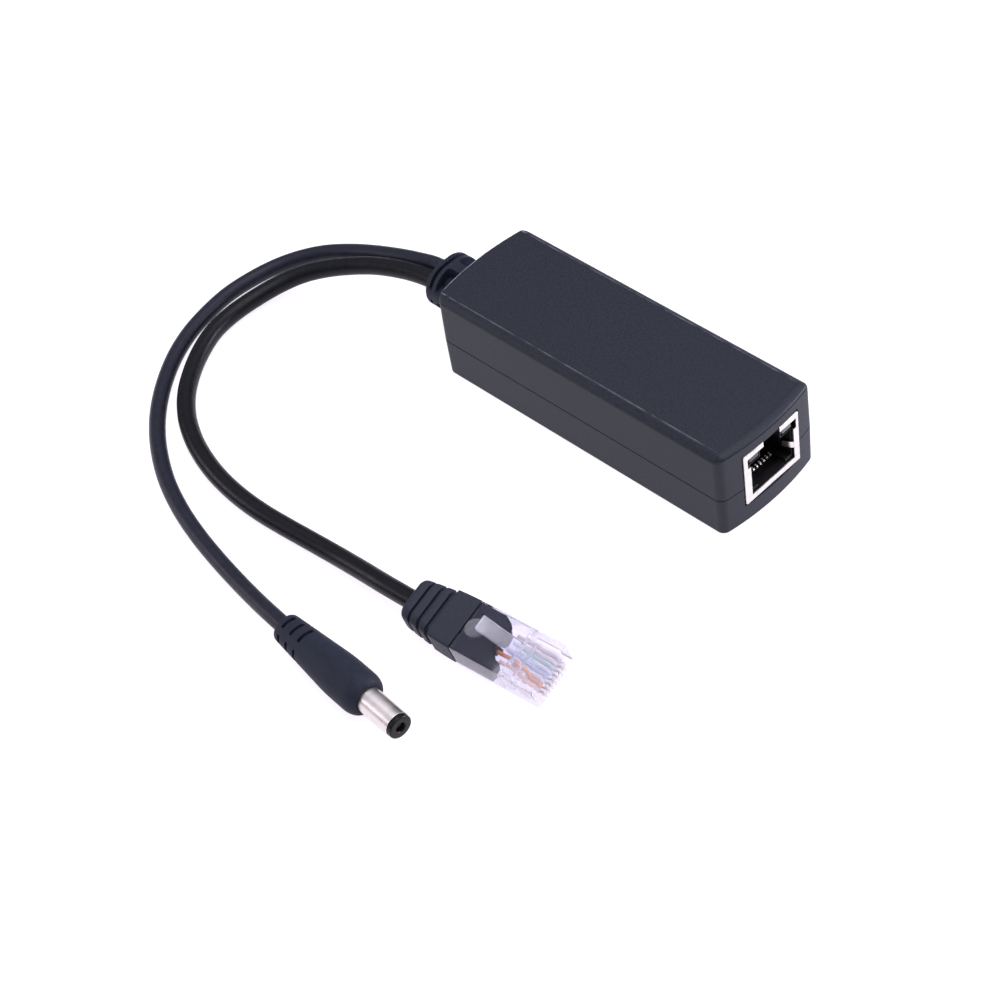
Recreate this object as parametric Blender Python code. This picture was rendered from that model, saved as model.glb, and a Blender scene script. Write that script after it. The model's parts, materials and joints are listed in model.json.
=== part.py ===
"""Inline network power splitter: a small moulded housing with a shielded RJ45 socket at one end,
and two cables at the other that end in a clear RJ45 plug and a round DC plug.

Units are metres and +Z is up. The origin is the centre of the housing's underside.
+X points along the housing to the socket, -X to the cables.
"""

import math

import bmesh
import bpy
from mathutils import Vector

# Housing: two shells that meet at a parting line, with ends bowed outwards in plan
HOUSING_LENGTH = 0.0780
HOUSING_WIDTH = 0.0280
HOUSING_HEIGHT = 0.0215
END_BOW = 0.0015
CORNER_RADIUS = 0.0020
PARTING_HEIGHT = 0.0096
PARTING_GAP = 0.00015
DRAFT = math.radians(0.7)
TOP_FILLET = 0.0018
REAR_EDGE = 0.00015
BOTTOM_EDGE = 0.0005
WALL = 0.0018
INNER_FILLET = 0.0006
LIP_HEIGHT = 0.0012
LIP_THICKNESS = 0.0010
LIP_CLEARANCE = 0.00025
SEAT_GAP = 0.0003

# Board on four posts with locating pins, held down by ribs of the upper shell
POST_RADIUS = 0.0022
POST_HEIGHT = 0.0008
PIN_RADIUS = 0.0009
PIN_RISE = 0.0006
BOARD_THICKNESS = 0.0016
BOARD_SIDE_GAP = 0.0005
BOARD_END_GAP = 0.0003
POST_EDGE_SETBACK = 0.0025
RIB_LENGTH = 0.0030
RIB_THICKNESS = 0.0012
RIB_EDGE_OVERLAP = 0.0012
RIB_SETBACK = 0.0040

# Socket: folded metal shield round a moulded insert
JACK_WIDTH = 0.0164
JACK_HEIGHT = 0.0133
JACK_DEPTH = 0.0213
JACK_OFFSET = 0.0003
JACK_FACE_SETBACK = 0.0002
JACK_CUTOUT_GAP = 0.0003
SHEET = 0.0003
MOUTH_WIDTH = 0.0129
MOUTH_SILL = 0.0017
MOUTH_HEIGHT = 0.00785
WINDOW_WIDTH = 0.0146
WINDOW_HEIGHT = 0.0018
LATCH_NOTCH_WIDTH = 0.0049
FINGER_HEIGHT = 0.0016
FINGER_LENGTH = 0.0016
FINGER_REACH = 0.0007
INSERT_SETBACK = 0.0003
PLUG_SPACE_WIDTH = 0.0122
PLUG_SPACE_DEPTH = 0.0146
SHOULDER_RISE = 0.0026
CHANNEL_WIDTH = 0.0084
CHANNEL_SILL = 0.0020
TROUGH_RISE = 0.0013
TROUGH_FRONT = 0.0015
LATCH_SPACE_WIDTH = 0.0061
LENS_WIDTH = 0.0033
LENS_HEIGHT = 0.0013
LENS_SETBACK = 0.0010
LENS_DEPTH = 0.0070
LENS_GAP = 0.0002

# Socket contacts: bent spring wires at the pitch of the RJ45 standard
CONTACT_COUNT = 8
CONTACT_PITCH = 0.00102
CONTACT_WIDTH = 0.00046
CONTACT_THICKNESS = 0.0003
CONTACT_FRONT = 0.0036
CONTACT_RISE_ANGLE = math.radians(21.0)
CONTACT_SPRING_LENGTH = 0.0095
CONTACT_TAIL_INSET = 0.0014

# Parts on the board: lengths and places as shares of the bay between strain relief and socket,
# widths as shares of half the board, heights up to a clearance under the roof
LAN_START_SHARE = 0.796
LAN_LENGTH_SHARE = 0.175
LAN_WIDTH_SHARE = 1.08
LAN_HEIGHT = 0.0058
CORE_PLACE_SHARE = 0.575
CORE_DEPTH_SHARE = 0.103
CORE_WIDTH_SHARE = 1.11
CORE_LEG_SHARE = 0.26
CORE_YOKE = 0.0020
CORE_ROOF_CLEARANCE = 0.0009
CORE_FOOT = 0.0014
WINDING_SHARE = 0.044
CAPACITOR_RADIUS_SHARE = 0.340
CAPACITOR_ROOF_CLEARANCE = 0.0032
CAPACITOR_BEAD = 0.0003
INPUT_CAPACITOR_SHARE = (0.378, -0.38)
OUTPUT_CAPACITOR_SHARE = (0.212, 0.48)
BRIDGE_LENGTH_SHARE = 0.074
BRIDGE_WIDTH_SHARE = 0.41
BRIDGE_PLACE_SHARE = 0.230
BRIDGE_A_SHARE = -0.64
BRIDGE_B_SHARE = -0.17
DIODE_PLACE_SHARE = (0.378, 0.40)
DIODE_LENGTH_SHARE = 0.083
DIODE_WIDTH_SHARE = 0.56
CHIP_LENGTH_SHARE = 0.072
CHIP_WIDTH_SHARE = 0.34
PACKAGE_HEIGHT = 0.0016
DIODE_HEIGHT = 0.0023

# Strain relief where both cables leave, a flat oval in section
RELIEF_LENGTH = 0.0113
RELIEF_HALF_WIDTH = 0.00685
RELIEF_HALF_HEIGHT = 0.00555
RELIEF_END_HALF_WIDTH = 0.0067
RELIEF_END_HALF_HEIGHT = 0.0054
RELIEF_RING = 0.0012
RELIEF_SLOT = 0.0009
RELIEF_SLOT_DEPTH = 0.0012
RELIEF_BAND = 0.0010
RELIEF_WINDOW = 0.0022
RELIEF_WINDOW_DEPTH = 0.0021
RELIEF_LINK = 0.0025
RELIEF_BRIDGE_TOP = 0.0020
RELIEF_BRIDGE_BOTTOM = 0.0003
RELIEF_ROUND = 0.0005
RELIEF_NECK_HALF_WIDTH = 0.0056
RELIEF_NECK_HALF_HEIGHT = 0.0046
RELIEF_FLANGE = 0.0020

# Cables
DATA_CABLE_DIAMETER = 0.0041
DC_CABLE_DIAMETER = 0.0036
CABLE_SPACING = 0.00405
CABLE_END_GAP = 0.0003
FLOOR_CLEARANCE = 0.00005
LEAD_DIAMETER = 0.0008
LEAD_PITCH = 0.00135
LEAD_PAD_MARGIN = 0.0014
DC_LEAD_DIAMETER = 0.0012

# Clear RJ45 plug, in its own frame: +X to its tip, +Z to its latch, origin at the overmoulding's front edge
PLUG_X = 0.0192
PLUG_Y = -0.0650
PLUG_YAW = math.radians(5.8)
PLUG_ROLL = math.radians(12.75)
PLUG_LENGTH = 0.0206
PLUG_WIDTH = 0.01168
PLUG_HEIGHT = 0.0066
PLUG_EDGE = 0.0004
PLUG_WALL = 0.0010
PLUG_FLOOR = 0.0009
PLUG_CAVITY_LENGTH = 0.0146
PLUG_SEAM = 0.00015
WIRE_SLOT_HEIGHT = 0.0013
WIRE_SLOT_RISE = 0.0026
WIRE_SLOT_WIDTH = 0.0086
WIRE_SLOT_END = 0.0010
WIRE_DIAMETER = 0.0008
BLADE_THICKNESS = 0.0003
BLADE_SLOT = 0.0006
BLADE_LENGTH = 0.0046
BLADE_RISE = 0.0005
BLADE_TIP_SETBACK = 0.0002
LATCH_ROOT_SETBACK = 0.0027
LATCH_LENGTH = 0.0124
LATCH_ANGLE = math.radians(24.0)
LATCH_THICKNESS = 0.0010
LATCH_WIDTH = 0.0032
CATCH_WIDTH = 0.0060
CATCH_LENGTH = 0.0042
CATCH_THICKNESS = 0.0018
BUMP_RADIUS = 0.0021
BUMP_HEIGHT = 0.0009
BUMP_CENTRE = 0.0027

# Overmoulding behind the clear plug
BOOT_LENGTH = 0.0132
BOOT_END_WIDTH = 0.0092
BOOT_END_HEIGHT = 0.0074
BOOT_RING_PITCH = 0.0024
BOOT_GROOVES = (0.0005, 0.0007, 0.0009)
BOOT_GROOVE_DEPTH = 0.0006
BOOT_RING_CORNER = 0.0013
BOOT_SLEEVE_CORNER = 0.0005
TONGUE_LENGTH = 0.0108

# DC plug, in its own frame: +X to its tip, origin at its rear face
DC_X = -0.0100
DC_Y = -0.0876
DC_YAW = math.radians(-4.7)
HANDLE_LENGTH = 0.0262
HANDLE_RADIUS = 0.00465
HANDLE_REAR_RADIUS = 0.0031
HANDLE_TAPER_LENGTH = 0.0140
HANDLE_SHOULDER = 0.0030
HANDLE_SLOT_WIDTH = 0.0007
HANDLE_SLOT_DEPTH = 0.0008
HANDLE_SLOT_HALF_ANGLE = math.radians(32.0)
HANDLE_SLOT_PITCH = 0.0027
HANDLE_SLOT_FIRST = 0.0020
HANDLE_SLOT_ROWS = 3
HANDLE_SLOT_SIDES = 4
BARREL_RADIUS = 0.00275
BARREL_WALL = 0.0004
BARREL_LENGTH = 0.0087
BARREL_SEAT = 0.0054
BARREL_CLEARANCE = 0.00015
TIP_LENGTH = 0.0009
TIP_ROUND = 0.0003
BORE_RADIUS = 0.00105
BORE_DEPTH = 0.0090
PIN_TUBE_RADIUS = 0.00085
PIN_TUBE_WALL = 0.0003
PIN_TUBE_SETBACK = 0.0009

# Places worked out from the sizes above
END_X = HOUSING_LENGTH / 2 + END_BOW
BOARD_BOTTOM = WALL + POST_HEIGHT + SEAT_GAP
BOARD_TOP = BOARD_BOTTOM + BOARD_THICKNESS
PART_BASE = BOARD_TOP + SEAT_GAP
JACK_FACE = END_X - JACK_FACE_SETBACK
JACK_BASE = PART_BASE
JACK_TOP = JACK_BASE + JACK_HEIGHT
JACK_REAR = JACK_FACE - JACK_DEPTH
MOUTH_BOTTOM = JACK_BASE + MOUTH_SILL
MOUTH_TOP = MOUTH_BOTTOM + MOUTH_HEIGHT
WINDOW_TOP = MOUTH_TOP + WINDOW_HEIGHT
NOTCH_TOP = JACK_TOP + SHEET
INSERT_FACE = JACK_FACE - SHEET - INSERT_SETBACK
RELIEF_BOW = END_BOW * (RELIEF_HALF_WIDTH / (HOUSING_WIDTH / 2)) ** 2
RELIEF_INNER = -(END_X - WALL - SEAT_GAP - RELIEF_BOW - RELIEF_FLANGE)
BOARD_REAR = RELIEF_INNER + 2 * SEAT_GAP
BOARD_FRONT = HOUSING_LENGTH / 2 - WALL - BOARD_END_GAP
BOARD_HALF_WIDTH = HOUSING_WIDTH / 2 - WALL - BOARD_SIDE_GAP
RELIEF_FACE = -(END_X + RELIEF_LENGTH)
RELIEF_SHOULDER = -(END_X + SEAT_GAP)
ROOF = HOUSING_HEIGHT - WALL
BAY_LENGTH = JACK_REAR - BOARD_REAR
TRANSFORMER_X = BOARD_REAR + CORE_PLACE_SHARE * BAY_LENGTH
CORE_DEPTH = CORE_DEPTH_SHARE * BAY_LENGTH
WINDING_WALL = WINDING_SHARE * BAY_LENGTH
CAPACITOR_RADIUS = CAPACITOR_RADIUS_SHARE * min(BOARD_HALF_WIDTH, BAY_LENGTH / 4.65)
DC_HEIGHT = HANDLE_RADIUS + FLOOR_CLEARANCE
PLUG_Z = PLUG_WIDTH / 2 * math.sin(PLUG_ROLL) + FLOOR_CLEARANCE

# Routes of the two cables, from the strain relief to the plugs; the points follow how they lie
DC_ROUTE = [
    (-0.0569, 0.0018, 0.0096), (-0.0610, 0.0008, 0.0094), (-0.0664, -0.0005, 0.0087),
    (-0.0730, -0.0022, 0.0074), (-0.0793, -0.0043, 0.0060), (-0.0849, -0.0070, 0.0046),
    (-0.0894, -0.0108, 0.0034), (-0.0927, -0.0154, 0.0024), (-0.0946, -0.0211, 0.0019),
    (-0.0953, -0.0278, 0.0018), (-0.0946, -0.0345, 0.0018), (-0.0929, -0.0415, 0.0018),
    (-0.0900, -0.0483, 0.0018), (-0.0858, -0.0550, 0.0018), (-0.0808, -0.0611, 0.0018),
    (-0.0753, -0.0663, 0.0018), (-0.0690, -0.0709, 0.0018), (-0.0616, -0.0751, 0.0018),
    (-0.0533, -0.0785, 0.0018), (-0.0449, -0.0810, 0.0018), (-0.0365, -0.0829, 0.0019),
    (-0.0282, -0.0845, 0.0023), (-0.0210, -0.0859, 0.0033), (-0.0155, -0.0869, 0.0043),
]
DATA_ROUTE = [
    (-0.0569, -0.0025, 0.0096), (-0.0626, -0.0037, 0.0092), (-0.0690, -0.0057, 0.0083),
    (-0.0748, -0.0083, 0.0070), (-0.0800, -0.0115, 0.0057), (-0.0841, -0.0154, 0.0045),
    (-0.0870, -0.0203, 0.0033), (-0.0888, -0.0262, 0.0024), (-0.0893, -0.0322, 0.0021),
    (-0.0885, -0.0380, 0.0021), (-0.0864, -0.0434, 0.0021), (-0.0830, -0.0493, 0.0021),
    (-0.0785, -0.0550, 0.0021), (-0.0730, -0.0597, 0.0021), (-0.0669, -0.0632, 0.0021),
    (-0.0608, -0.0656, 0.0021), (-0.0539, -0.0674, 0.0021), (-0.0464, -0.0684, 0.0021),
    (-0.0390, -0.0686, 0.0021), (-0.0319, -0.0682, 0.0021), (-0.0247, -0.0676, 0.0021),
    (-0.0170, -0.0671, 0.0023), (-0.0090, -0.0671, 0.0032), (-0.0030, -0.0673, 0.0041),
]


def clear_scene():
    """Start from an empty scene."""
    for thing in list(bpy.data.objects):
        bpy.data.objects.remove(thing, do_unlink=True)


def finish_material(name, colour, roughness, metallic=0.0, alpha=1.0):
    """One Principled material with the part's colour."""
    made = bpy.data.materials.new(name)
    made.use_nodes = True
    shader = made.node_tree.nodes["Principled BSDF"]
    shader.inputs["Base Color"].default_value = (*colour, 1.0)
    shader.inputs["Roughness"].default_value = roughness
    shader.inputs["Metallic"].default_value = metallic
    shader.inputs["Alpha"].default_value = alpha
    made.diffuse_color = (*colour, alpha)
    return made


def solid(name, shape, finish, frame=None):
    """Turn a bmesh into a named object, shaded smooth with its true edges kept sharp."""
    bmesh.ops.recalc_face_normals(shape, faces=shape.faces)
    mesh = bpy.data.meshes.new(name)
    shape.to_mesh(mesh)
    shape.free()
    mesh.materials.append(finish)
    made = bpy.data.objects.new(name, mesh)
    bpy.context.scene.collection.objects.link(made)
    made.parent = frame
    shade(made)
    return made


def shade(made):
    """Smooth shading with sharp edges above thirty degrees."""
    made.data.shade_smooth()
    made.data.set_sharp_from_angle(angle=math.radians(30))


def carve(body, tool, operation="DIFFERENCE"):
    """Cut a tool shape from a body, or join it on, and keep the result as the body's mesh."""
    bmesh.ops.recalc_face_normals(tool, faces=tool.faces)
    mesh = bpy.data.meshes.new("tool")
    tool.to_mesh(mesh)
    tool.free()
    cutter = bpy.data.objects.new("tool", mesh)
    bpy.context.scene.collection.objects.link(cutter)
    cutter.parent = body.parent
    step = body.modifiers.new("step", "BOOLEAN")
    step.operation = operation
    step.solver = "EXACT"
    step.object = cutter
    depsgraph = bpy.context.evaluated_depsgraph_get()
    depsgraph.update()
    result = bpy.data.meshes.new_from_object(body.evaluated_get(depsgraph))
    body.modifiers.clear()
    old = body.data
    body.data = result
    result.name = body.name
    bpy.data.meshes.remove(old)
    bpy.data.objects.remove(cutter, do_unlink=True)
    shade(body)


def loft(rings):
    """Closed skin through rings of equal count, capped at both ends."""
    shape = bmesh.new()
    rows = [[shape.verts.new(point) for point in ring] for ring in rings]
    for row, following in zip(rows, rows[1:]):
        count = len(row)
        for index in range(count):
            after = (index + 1) % count
            shape.faces.new((row[index], row[after], following[after], following[index]))
    shape.faces.new(rows[0])
    shape.faces.new(list(reversed(rows[-1])))
    return shape


def add_box(shape, low, high):
    """Add a box given by two corners."""
    made = bmesh.ops.create_cube(shape, size=1.0)
    size = Vector(high) - Vector(low)
    bmesh.ops.scale(shape, vec=size, verts=made["verts"])
    bmesh.ops.translate(shape, vec=(Vector(low) + Vector(high)) / 2, verts=made["verts"])
    return made["verts"]


def box(low, high):
    """A new bmesh that holds one box."""
    shape = bmesh.new()
    add_box(shape, low, high)
    return shape


def rounded_box(low, high, radius, segments=2):
    """A box with all its edges rounded."""
    shape = box(low, high)
    bmesh.ops.bevel(shape, geom=list(shape.edges), offset=radius, segments=segments,
                    affect="EDGES", profile=0.5, clamp_overlap=True)
    return shape


def add_prism(shape, outline, low, high, axis):
    """Extrude a flat outline along X or Y, between two stations."""
    if axis == "X":
        start = [Vector((low, a, b)) for a, b in outline]
        step = Vector((high - low, 0, 0))
    else:
        start = [Vector((a, low, b)) for a, b in outline]
        step = Vector((0, high - low, 0))
    base = shape.faces.new([shape.verts.new(point) for point in start])
    grown = bmesh.ops.extrude_face_region(shape, geom=[base])
    moved = [item for item in grown["geom"] if isinstance(item, bmesh.types.BMVert)]
    bmesh.ops.translate(shape, vec=step, verts=moved)


def prism(outline, low, high, axis):
    """A new bmesh that holds one extruded outline."""
    shape = bmesh.new()
    add_prism(shape, outline, low, high, axis)
    return shape


def add_cylinder(shape, centre, radius, low, high, sides=20):
    """Add an upright cylinder."""
    made = bmesh.ops.create_cone(shape, cap_ends=True, segments=sides, radius1=radius,
                                 radius2=radius, depth=high - low)
    bmesh.ops.translate(shape, vec=(*centre, (low + high) / 2), verts=made["verts"])


def lathe(profile, sides=24):
    """Turn a profile of (distance along X, radius) about the X axis, with flat ends."""
    rings = []
    for along, radius in profile:
        ring = []
        for index in range(sides):
            angle = 2 * math.pi * index / sides
            ring.append(Vector((along, radius * math.cos(angle), radius * math.sin(angle))))
        rings.append(ring)
    return loft(rings)


def smooth_route(points, spacing):
    """Points at about equal spacing on a smooth curve through the given points."""
    points = [Vector(point) for point in points]
    padded = [2 * points[0] - points[1], *points, 2 * points[-1] - points[-2]]
    fine = []
    for before, start, end, after in zip(padded, padded[1:], padded[2:], padded[3:]):
        for step in range(12):
            t = step / 12
            fine.append(0.5 * (2 * start + (end - before) * t
                               + (2 * before - 5 * start + 4 * end - after) * t ** 2
                               + (3 * start - before - 3 * end + after) * t ** 3))
    fine.append(points[-1])
    lengths = [0.0]
    for start, end in zip(fine, fine[1:]):
        lengths.append(lengths[-1] + (end - start).length)
    count = max(2, round(lengths[-1] / spacing))
    route = []
    index = 0
    for step in range(count + 1):
        target = lengths[-1] * step / count
        while index < len(fine) - 2 and lengths[index + 1] < target:
            index += 1
        span = lengths[index + 1] - lengths[index]
        share = (target - lengths[index]) / span if span else 0.0
        route.append(fine[index].lerp(fine[index + 1], min(1.0, share)))
    return route


def tube(name, points, diameter, spacing, finish, resolution=2, frame=None):
    """A round cord as a bevelled poly curve with filled caps."""
    curve = bpy.data.curves.new(name, "CURVE")
    curve.dimensions = "3D"
    curve.bevel_depth = diameter / 2
    curve.bevel_resolution = resolution
    curve.use_fill_caps = True
    route = smooth_route(points, spacing)
    spline = curve.splines.new("POLY")
    spline.points.add(len(route) - 1)
    for target, place in zip(spline.points, route):
        target.co = (*place, 1.0)
    spline.use_smooth = True
    curve.materials.append(finish)
    made = bpy.data.objects.new(name, curve)
    bpy.context.scene.collection.objects.link(made)
    made.parent = frame
    return made


def plug_frame(name, place, roll, yaw):
    """An empty that carries the pieces of one plug."""
    made = bpy.data.objects.new(name, None)
    made.location = place
    made.rotation_euler = (roll, 0.0, yaw)
    bpy.context.scene.collection.objects.link(made)
    bpy.context.view_layer.update()
    return made


def housing_quarter(inset, end_inset, arc_steps=10, corner_steps=4):
    """A quarter of the housing in plan: half of one bowed end and the corner beside it."""
    half_width = HOUSING_WIDTH / 2
    bow_radius = (half_width ** 2 + END_BOW ** 2) / (2 * END_BOW)
    centre_x = END_X - bow_radius
    radius = bow_radius - end_inset
    corner = max(CORNER_RADIUS - inset, CORNER_RADIUS / 5)
    corner_y = half_width - inset - corner
    reach = math.sqrt((radius - corner) ** 2 - corner_y ** 2)
    tangent = math.atan2(corner_y, reach)
    quarter = []
    for step in range(arc_steps // 2):
        angle = tangent * step / (arc_steps / 2)
        quarter.append((centre_x + radius * math.cos(angle), radius * math.sin(angle)))
    for step in range(corner_steps + 1):
        angle = tangent + (math.pi / 2 - tangent) * step / corner_steps
        quarter.append((centre_x + reach + corner * math.cos(angle),
                        corner_y + corner * math.sin(angle)))
    return quarter


def housing_outline(inset, height, rear_inset=None):
    """One ring of the housing in plan, drawn in from its widest line, the cable end by its own inset."""
    rear = housing_quarter(inset, inset if rear_inset is None else rear_inset)
    upper = housing_quarter(inset, inset) + [(-x, y) for x, y in reversed(rear)]
    lower = [(x, -y) for x, y in reversed(upper[1:-1])]
    return [Vector((x, y, height)) for x, y in upper + lower]


def draft_inset(height):
    """How far the drafted wall has drawn in at this height."""
    return abs(height - PARTING_HEIGHT) * math.tan(DRAFT)


def arc_levels(radius, steps):
    """Pairs of (drawn in, risen) along a quarter round."""
    pairs = []
    for step in range(steps + 1):
        angle = math.pi / 2 * step / steps
        pairs.append((radius * (1 - math.cos(angle)), radius * math.sin(angle)))
    return pairs


def jack_cutout():
    """The opening in the housing's end wall that the socket shows through."""
    half = JACK_WIDTH / 2 + JACK_CUTOUT_GAP
    return box((JACK_REAR, JACK_OFFSET - half, JACK_BASE - JACK_CUTOUT_GAP),
               (END_X + WALL, JACK_OFFSET + half, JACK_TOP + JACK_CUTOUT_GAP))


def relief_cutout():
    """The oval hole in the other end wall for the strain relief's neck."""
    rings = [relief_ring(-(END_X + WALL), RELIEF_NECK_HALF_WIDTH + SEAT_GAP,
                         RELIEF_NECK_HALF_HEIGHT + SEAT_GAP),
             relief_ring(RELIEF_INNER, RELIEF_NECK_HALF_WIDTH + SEAT_GAP,
                         RELIEF_NECK_HALF_HEIGHT + SEAT_GAP)]
    return loft(rings)


def post_places():
    """Where the four posts stand under the board."""
    y = BOARD_HALF_WIDTH - POST_EDGE_SETBACK
    rear = BOARD_REAR + 2 * POST_EDGE_SETBACK
    front = JACK_REAR - POST_RADIUS / 3
    return [(x, side * y) for x in (rear, front) for side in (-1, 1)]


def build_lower_shell(finish):
    """Lower half: floor, drafted wall and the lip that locates the upper half."""
    rim = PARTING_HEIGHT - PARTING_GAP / 2
    lip_top = PARTING_HEIGHT + LIP_HEIGHT
    rings = []
    for drawn, risen in reversed(arc_levels(BOTTOM_EDGE, 2)):
        rings.append(housing_outline(draft_inset(BOTTOM_EDGE) + drawn, BOTTOM_EDGE - risen))
    rings.append(housing_outline(0.0, rim))
    rings.append(housing_outline(WALL - LIP_THICKNESS, rim))
    rings.append(housing_outline(WALL - LIP_THICKNESS, lip_top))
    rings.append(housing_outline(WALL, lip_top))
    rings.append(housing_outline(WALL, PARTING_HEIGHT))
    low = WALL + INNER_FILLET
    rings.append(housing_outline(WALL + draft_inset(low), low))
    rings.append(housing_outline(WALL + draft_inset(low) + INNER_FILLET, WALL))
    body = solid("lower_shell", loft(rings), finish)
    carve(body, jack_cutout())
    carve(body, relief_cutout())
    posts = bmesh.new()
    for place in post_places():
        add_cylinder(posts, place, POST_RADIUS, WALL / 2, WALL + POST_HEIGHT, 16)
    carve(body, posts, "UNION")
    pins = bmesh.new()
    for place in post_places():
        add_cylinder(pins, place, PIN_RADIUS, WALL, BOARD_TOP + PIN_RISE, 12)
    carve(body, pins, "UNION")


def build_upper_shell(finish):
    """Upper half: roof filleted except at the cable end, drafted wall, step over the lip, ribs."""
    rim = PARTING_HEIGHT + PARTING_GAP / 2
    step_top = PARTING_HEIGHT + LIP_HEIGHT + SEAT_GAP
    step_inset = WALL - LIP_THICKNESS - LIP_CLEARANCE
    shoulder = HOUSING_HEIGHT - TOP_FILLET
    roof = ROOF
    rings = [housing_outline(draft_inset(shoulder) + TOP_FILLET, HOUSING_HEIGHT,
                             draft_inset(HOUSING_HEIGHT) + REAR_EDGE)]
    for drawn, risen in reversed(arc_levels(TOP_FILLET, 5)[:-1]):
        level = shoulder + risen
        rings.append(housing_outline(draft_inset(shoulder) + drawn, level, draft_inset(level)))
    rings.append(housing_outline(0.0, rim))
    rings.append(housing_outline(step_inset, rim))
    rings.append(housing_outline(step_inset, step_top))
    rings.append(housing_outline(WALL, step_top))
    high = roof - INNER_FILLET
    rings.append(housing_outline(WALL + draft_inset(high), high))
    rings.append(housing_outline(WALL + draft_inset(high) + INNER_FILLET, roof))
    body = solid("upper_shell", loft(rings), finish)
    carve(body, jack_cutout())
    carve(body, relief_cutout())
    ribs = bmesh.new()
    for along in (BOARD_REAR + RIB_SETBACK, TRANSFORMER_X + BAY_LENGTH / 4):
        for side in (-1, 1):
            edge = side * (BOARD_HALF_WIDTH - RIB_EDGE_OVERLAP)
            inner, outer = sorted((edge, edge + side * RIB_THICKNESS))
            add_box(ribs, (along - RIB_LENGTH / 2, inner, PART_BASE),
                    (along + RIB_LENGTH / 2, outer, roof + WALL / 2))
    carve(body, ribs, "UNION")


def build_board(finish):
    """Circuit board with clearance holes for the four pins."""
    body = solid("circuit_board", box((BOARD_REAR, -BOARD_HALF_WIDTH, BOARD_BOTTOM),
                                      (BOARD_FRONT, BOARD_HALF_WIDTH, BOARD_TOP)), finish)
    holes = bmesh.new()
    for place in post_places():
        add_cylinder(holes, place, PIN_RADIUS + SEAT_GAP, BOARD_BOTTOM - BOARD_THICKNESS,
                     BOARD_TOP + BOARD_THICKNESS, 16)
    carve(body, holes)


def mouth_outline(grow=0.0):
    """The socket's stepped opening as the metal frame shows it."""
    mouth = MOUTH_WIDTH / 2 + grow
    window = WINDOW_WIDTH / 2 + grow
    notch = LATCH_NOTCH_WIDTH / 2 + grow
    half = [(mouth, MOUTH_BOTTOM - grow), (mouth, MOUTH_TOP), (window, MOUTH_TOP),
            (window, WINDOW_TOP + grow), (notch, WINDOW_TOP + grow), (notch, NOTCH_TOP + grow)]
    return half + [(-y, z) for y, z in reversed(half)]


def finger_root():
    """Height span of the shield's side spring fingers."""
    top = MOUTH_TOP - SHEET
    return top - FINGER_HEIGHT, top


def build_jack_shield(finish, frame):
    """Folded shield: four walls and a framed face, open underneath, with two side fingers."""
    half = JACK_WIDTH / 2
    body = solid("jack_shield", box((JACK_REAR, -half, JACK_BASE), (JACK_FACE, half, JACK_TOP)),
                 finish, frame)
    carve(body, box((JACK_REAR + SHEET, -half + SHEET, JACK_BASE - SHEET),
                    (JACK_FACE - SHEET, half - SHEET, JACK_TOP - SHEET)))
    carve(body, prism(mouth_outline(), JACK_FACE - 2 * SHEET, JACK_FACE + SHEET, "X"))
    low, high = finger_root()
    fingers = bmesh.new()
    edge = MOUTH_WIDTH / 2
    for side in (-1, 1):
        outline = [(JACK_FACE - SHEET / 4, edge + SHEET), (JACK_FACE - SHEET / 4, edge - SHEET / 2),
                   (JACK_FACE - FINGER_LENGTH, edge - FINGER_REACH - SHEET),
                   (JACK_FACE - FINGER_LENGTH - SHEET / 2, edge - FINGER_REACH),
                   (JACK_FACE - 3 * SHEET / 4, edge + SHEET)]
        rings = [[Vector((x, side * y, height)) for x, y in outline] for height in (low, high)]
        finger = loft(rings)
        bmesh.ops.recalc_face_normals(finger, faces=finger.faces)
        mesh = bpy.data.meshes.new("finger")
        finger.to_mesh(mesh)
        finger.free()
        fingers.from_mesh(mesh)
        bpy.data.meshes.remove(mesh)
    carve(body, fingers, "UNION")


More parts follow.
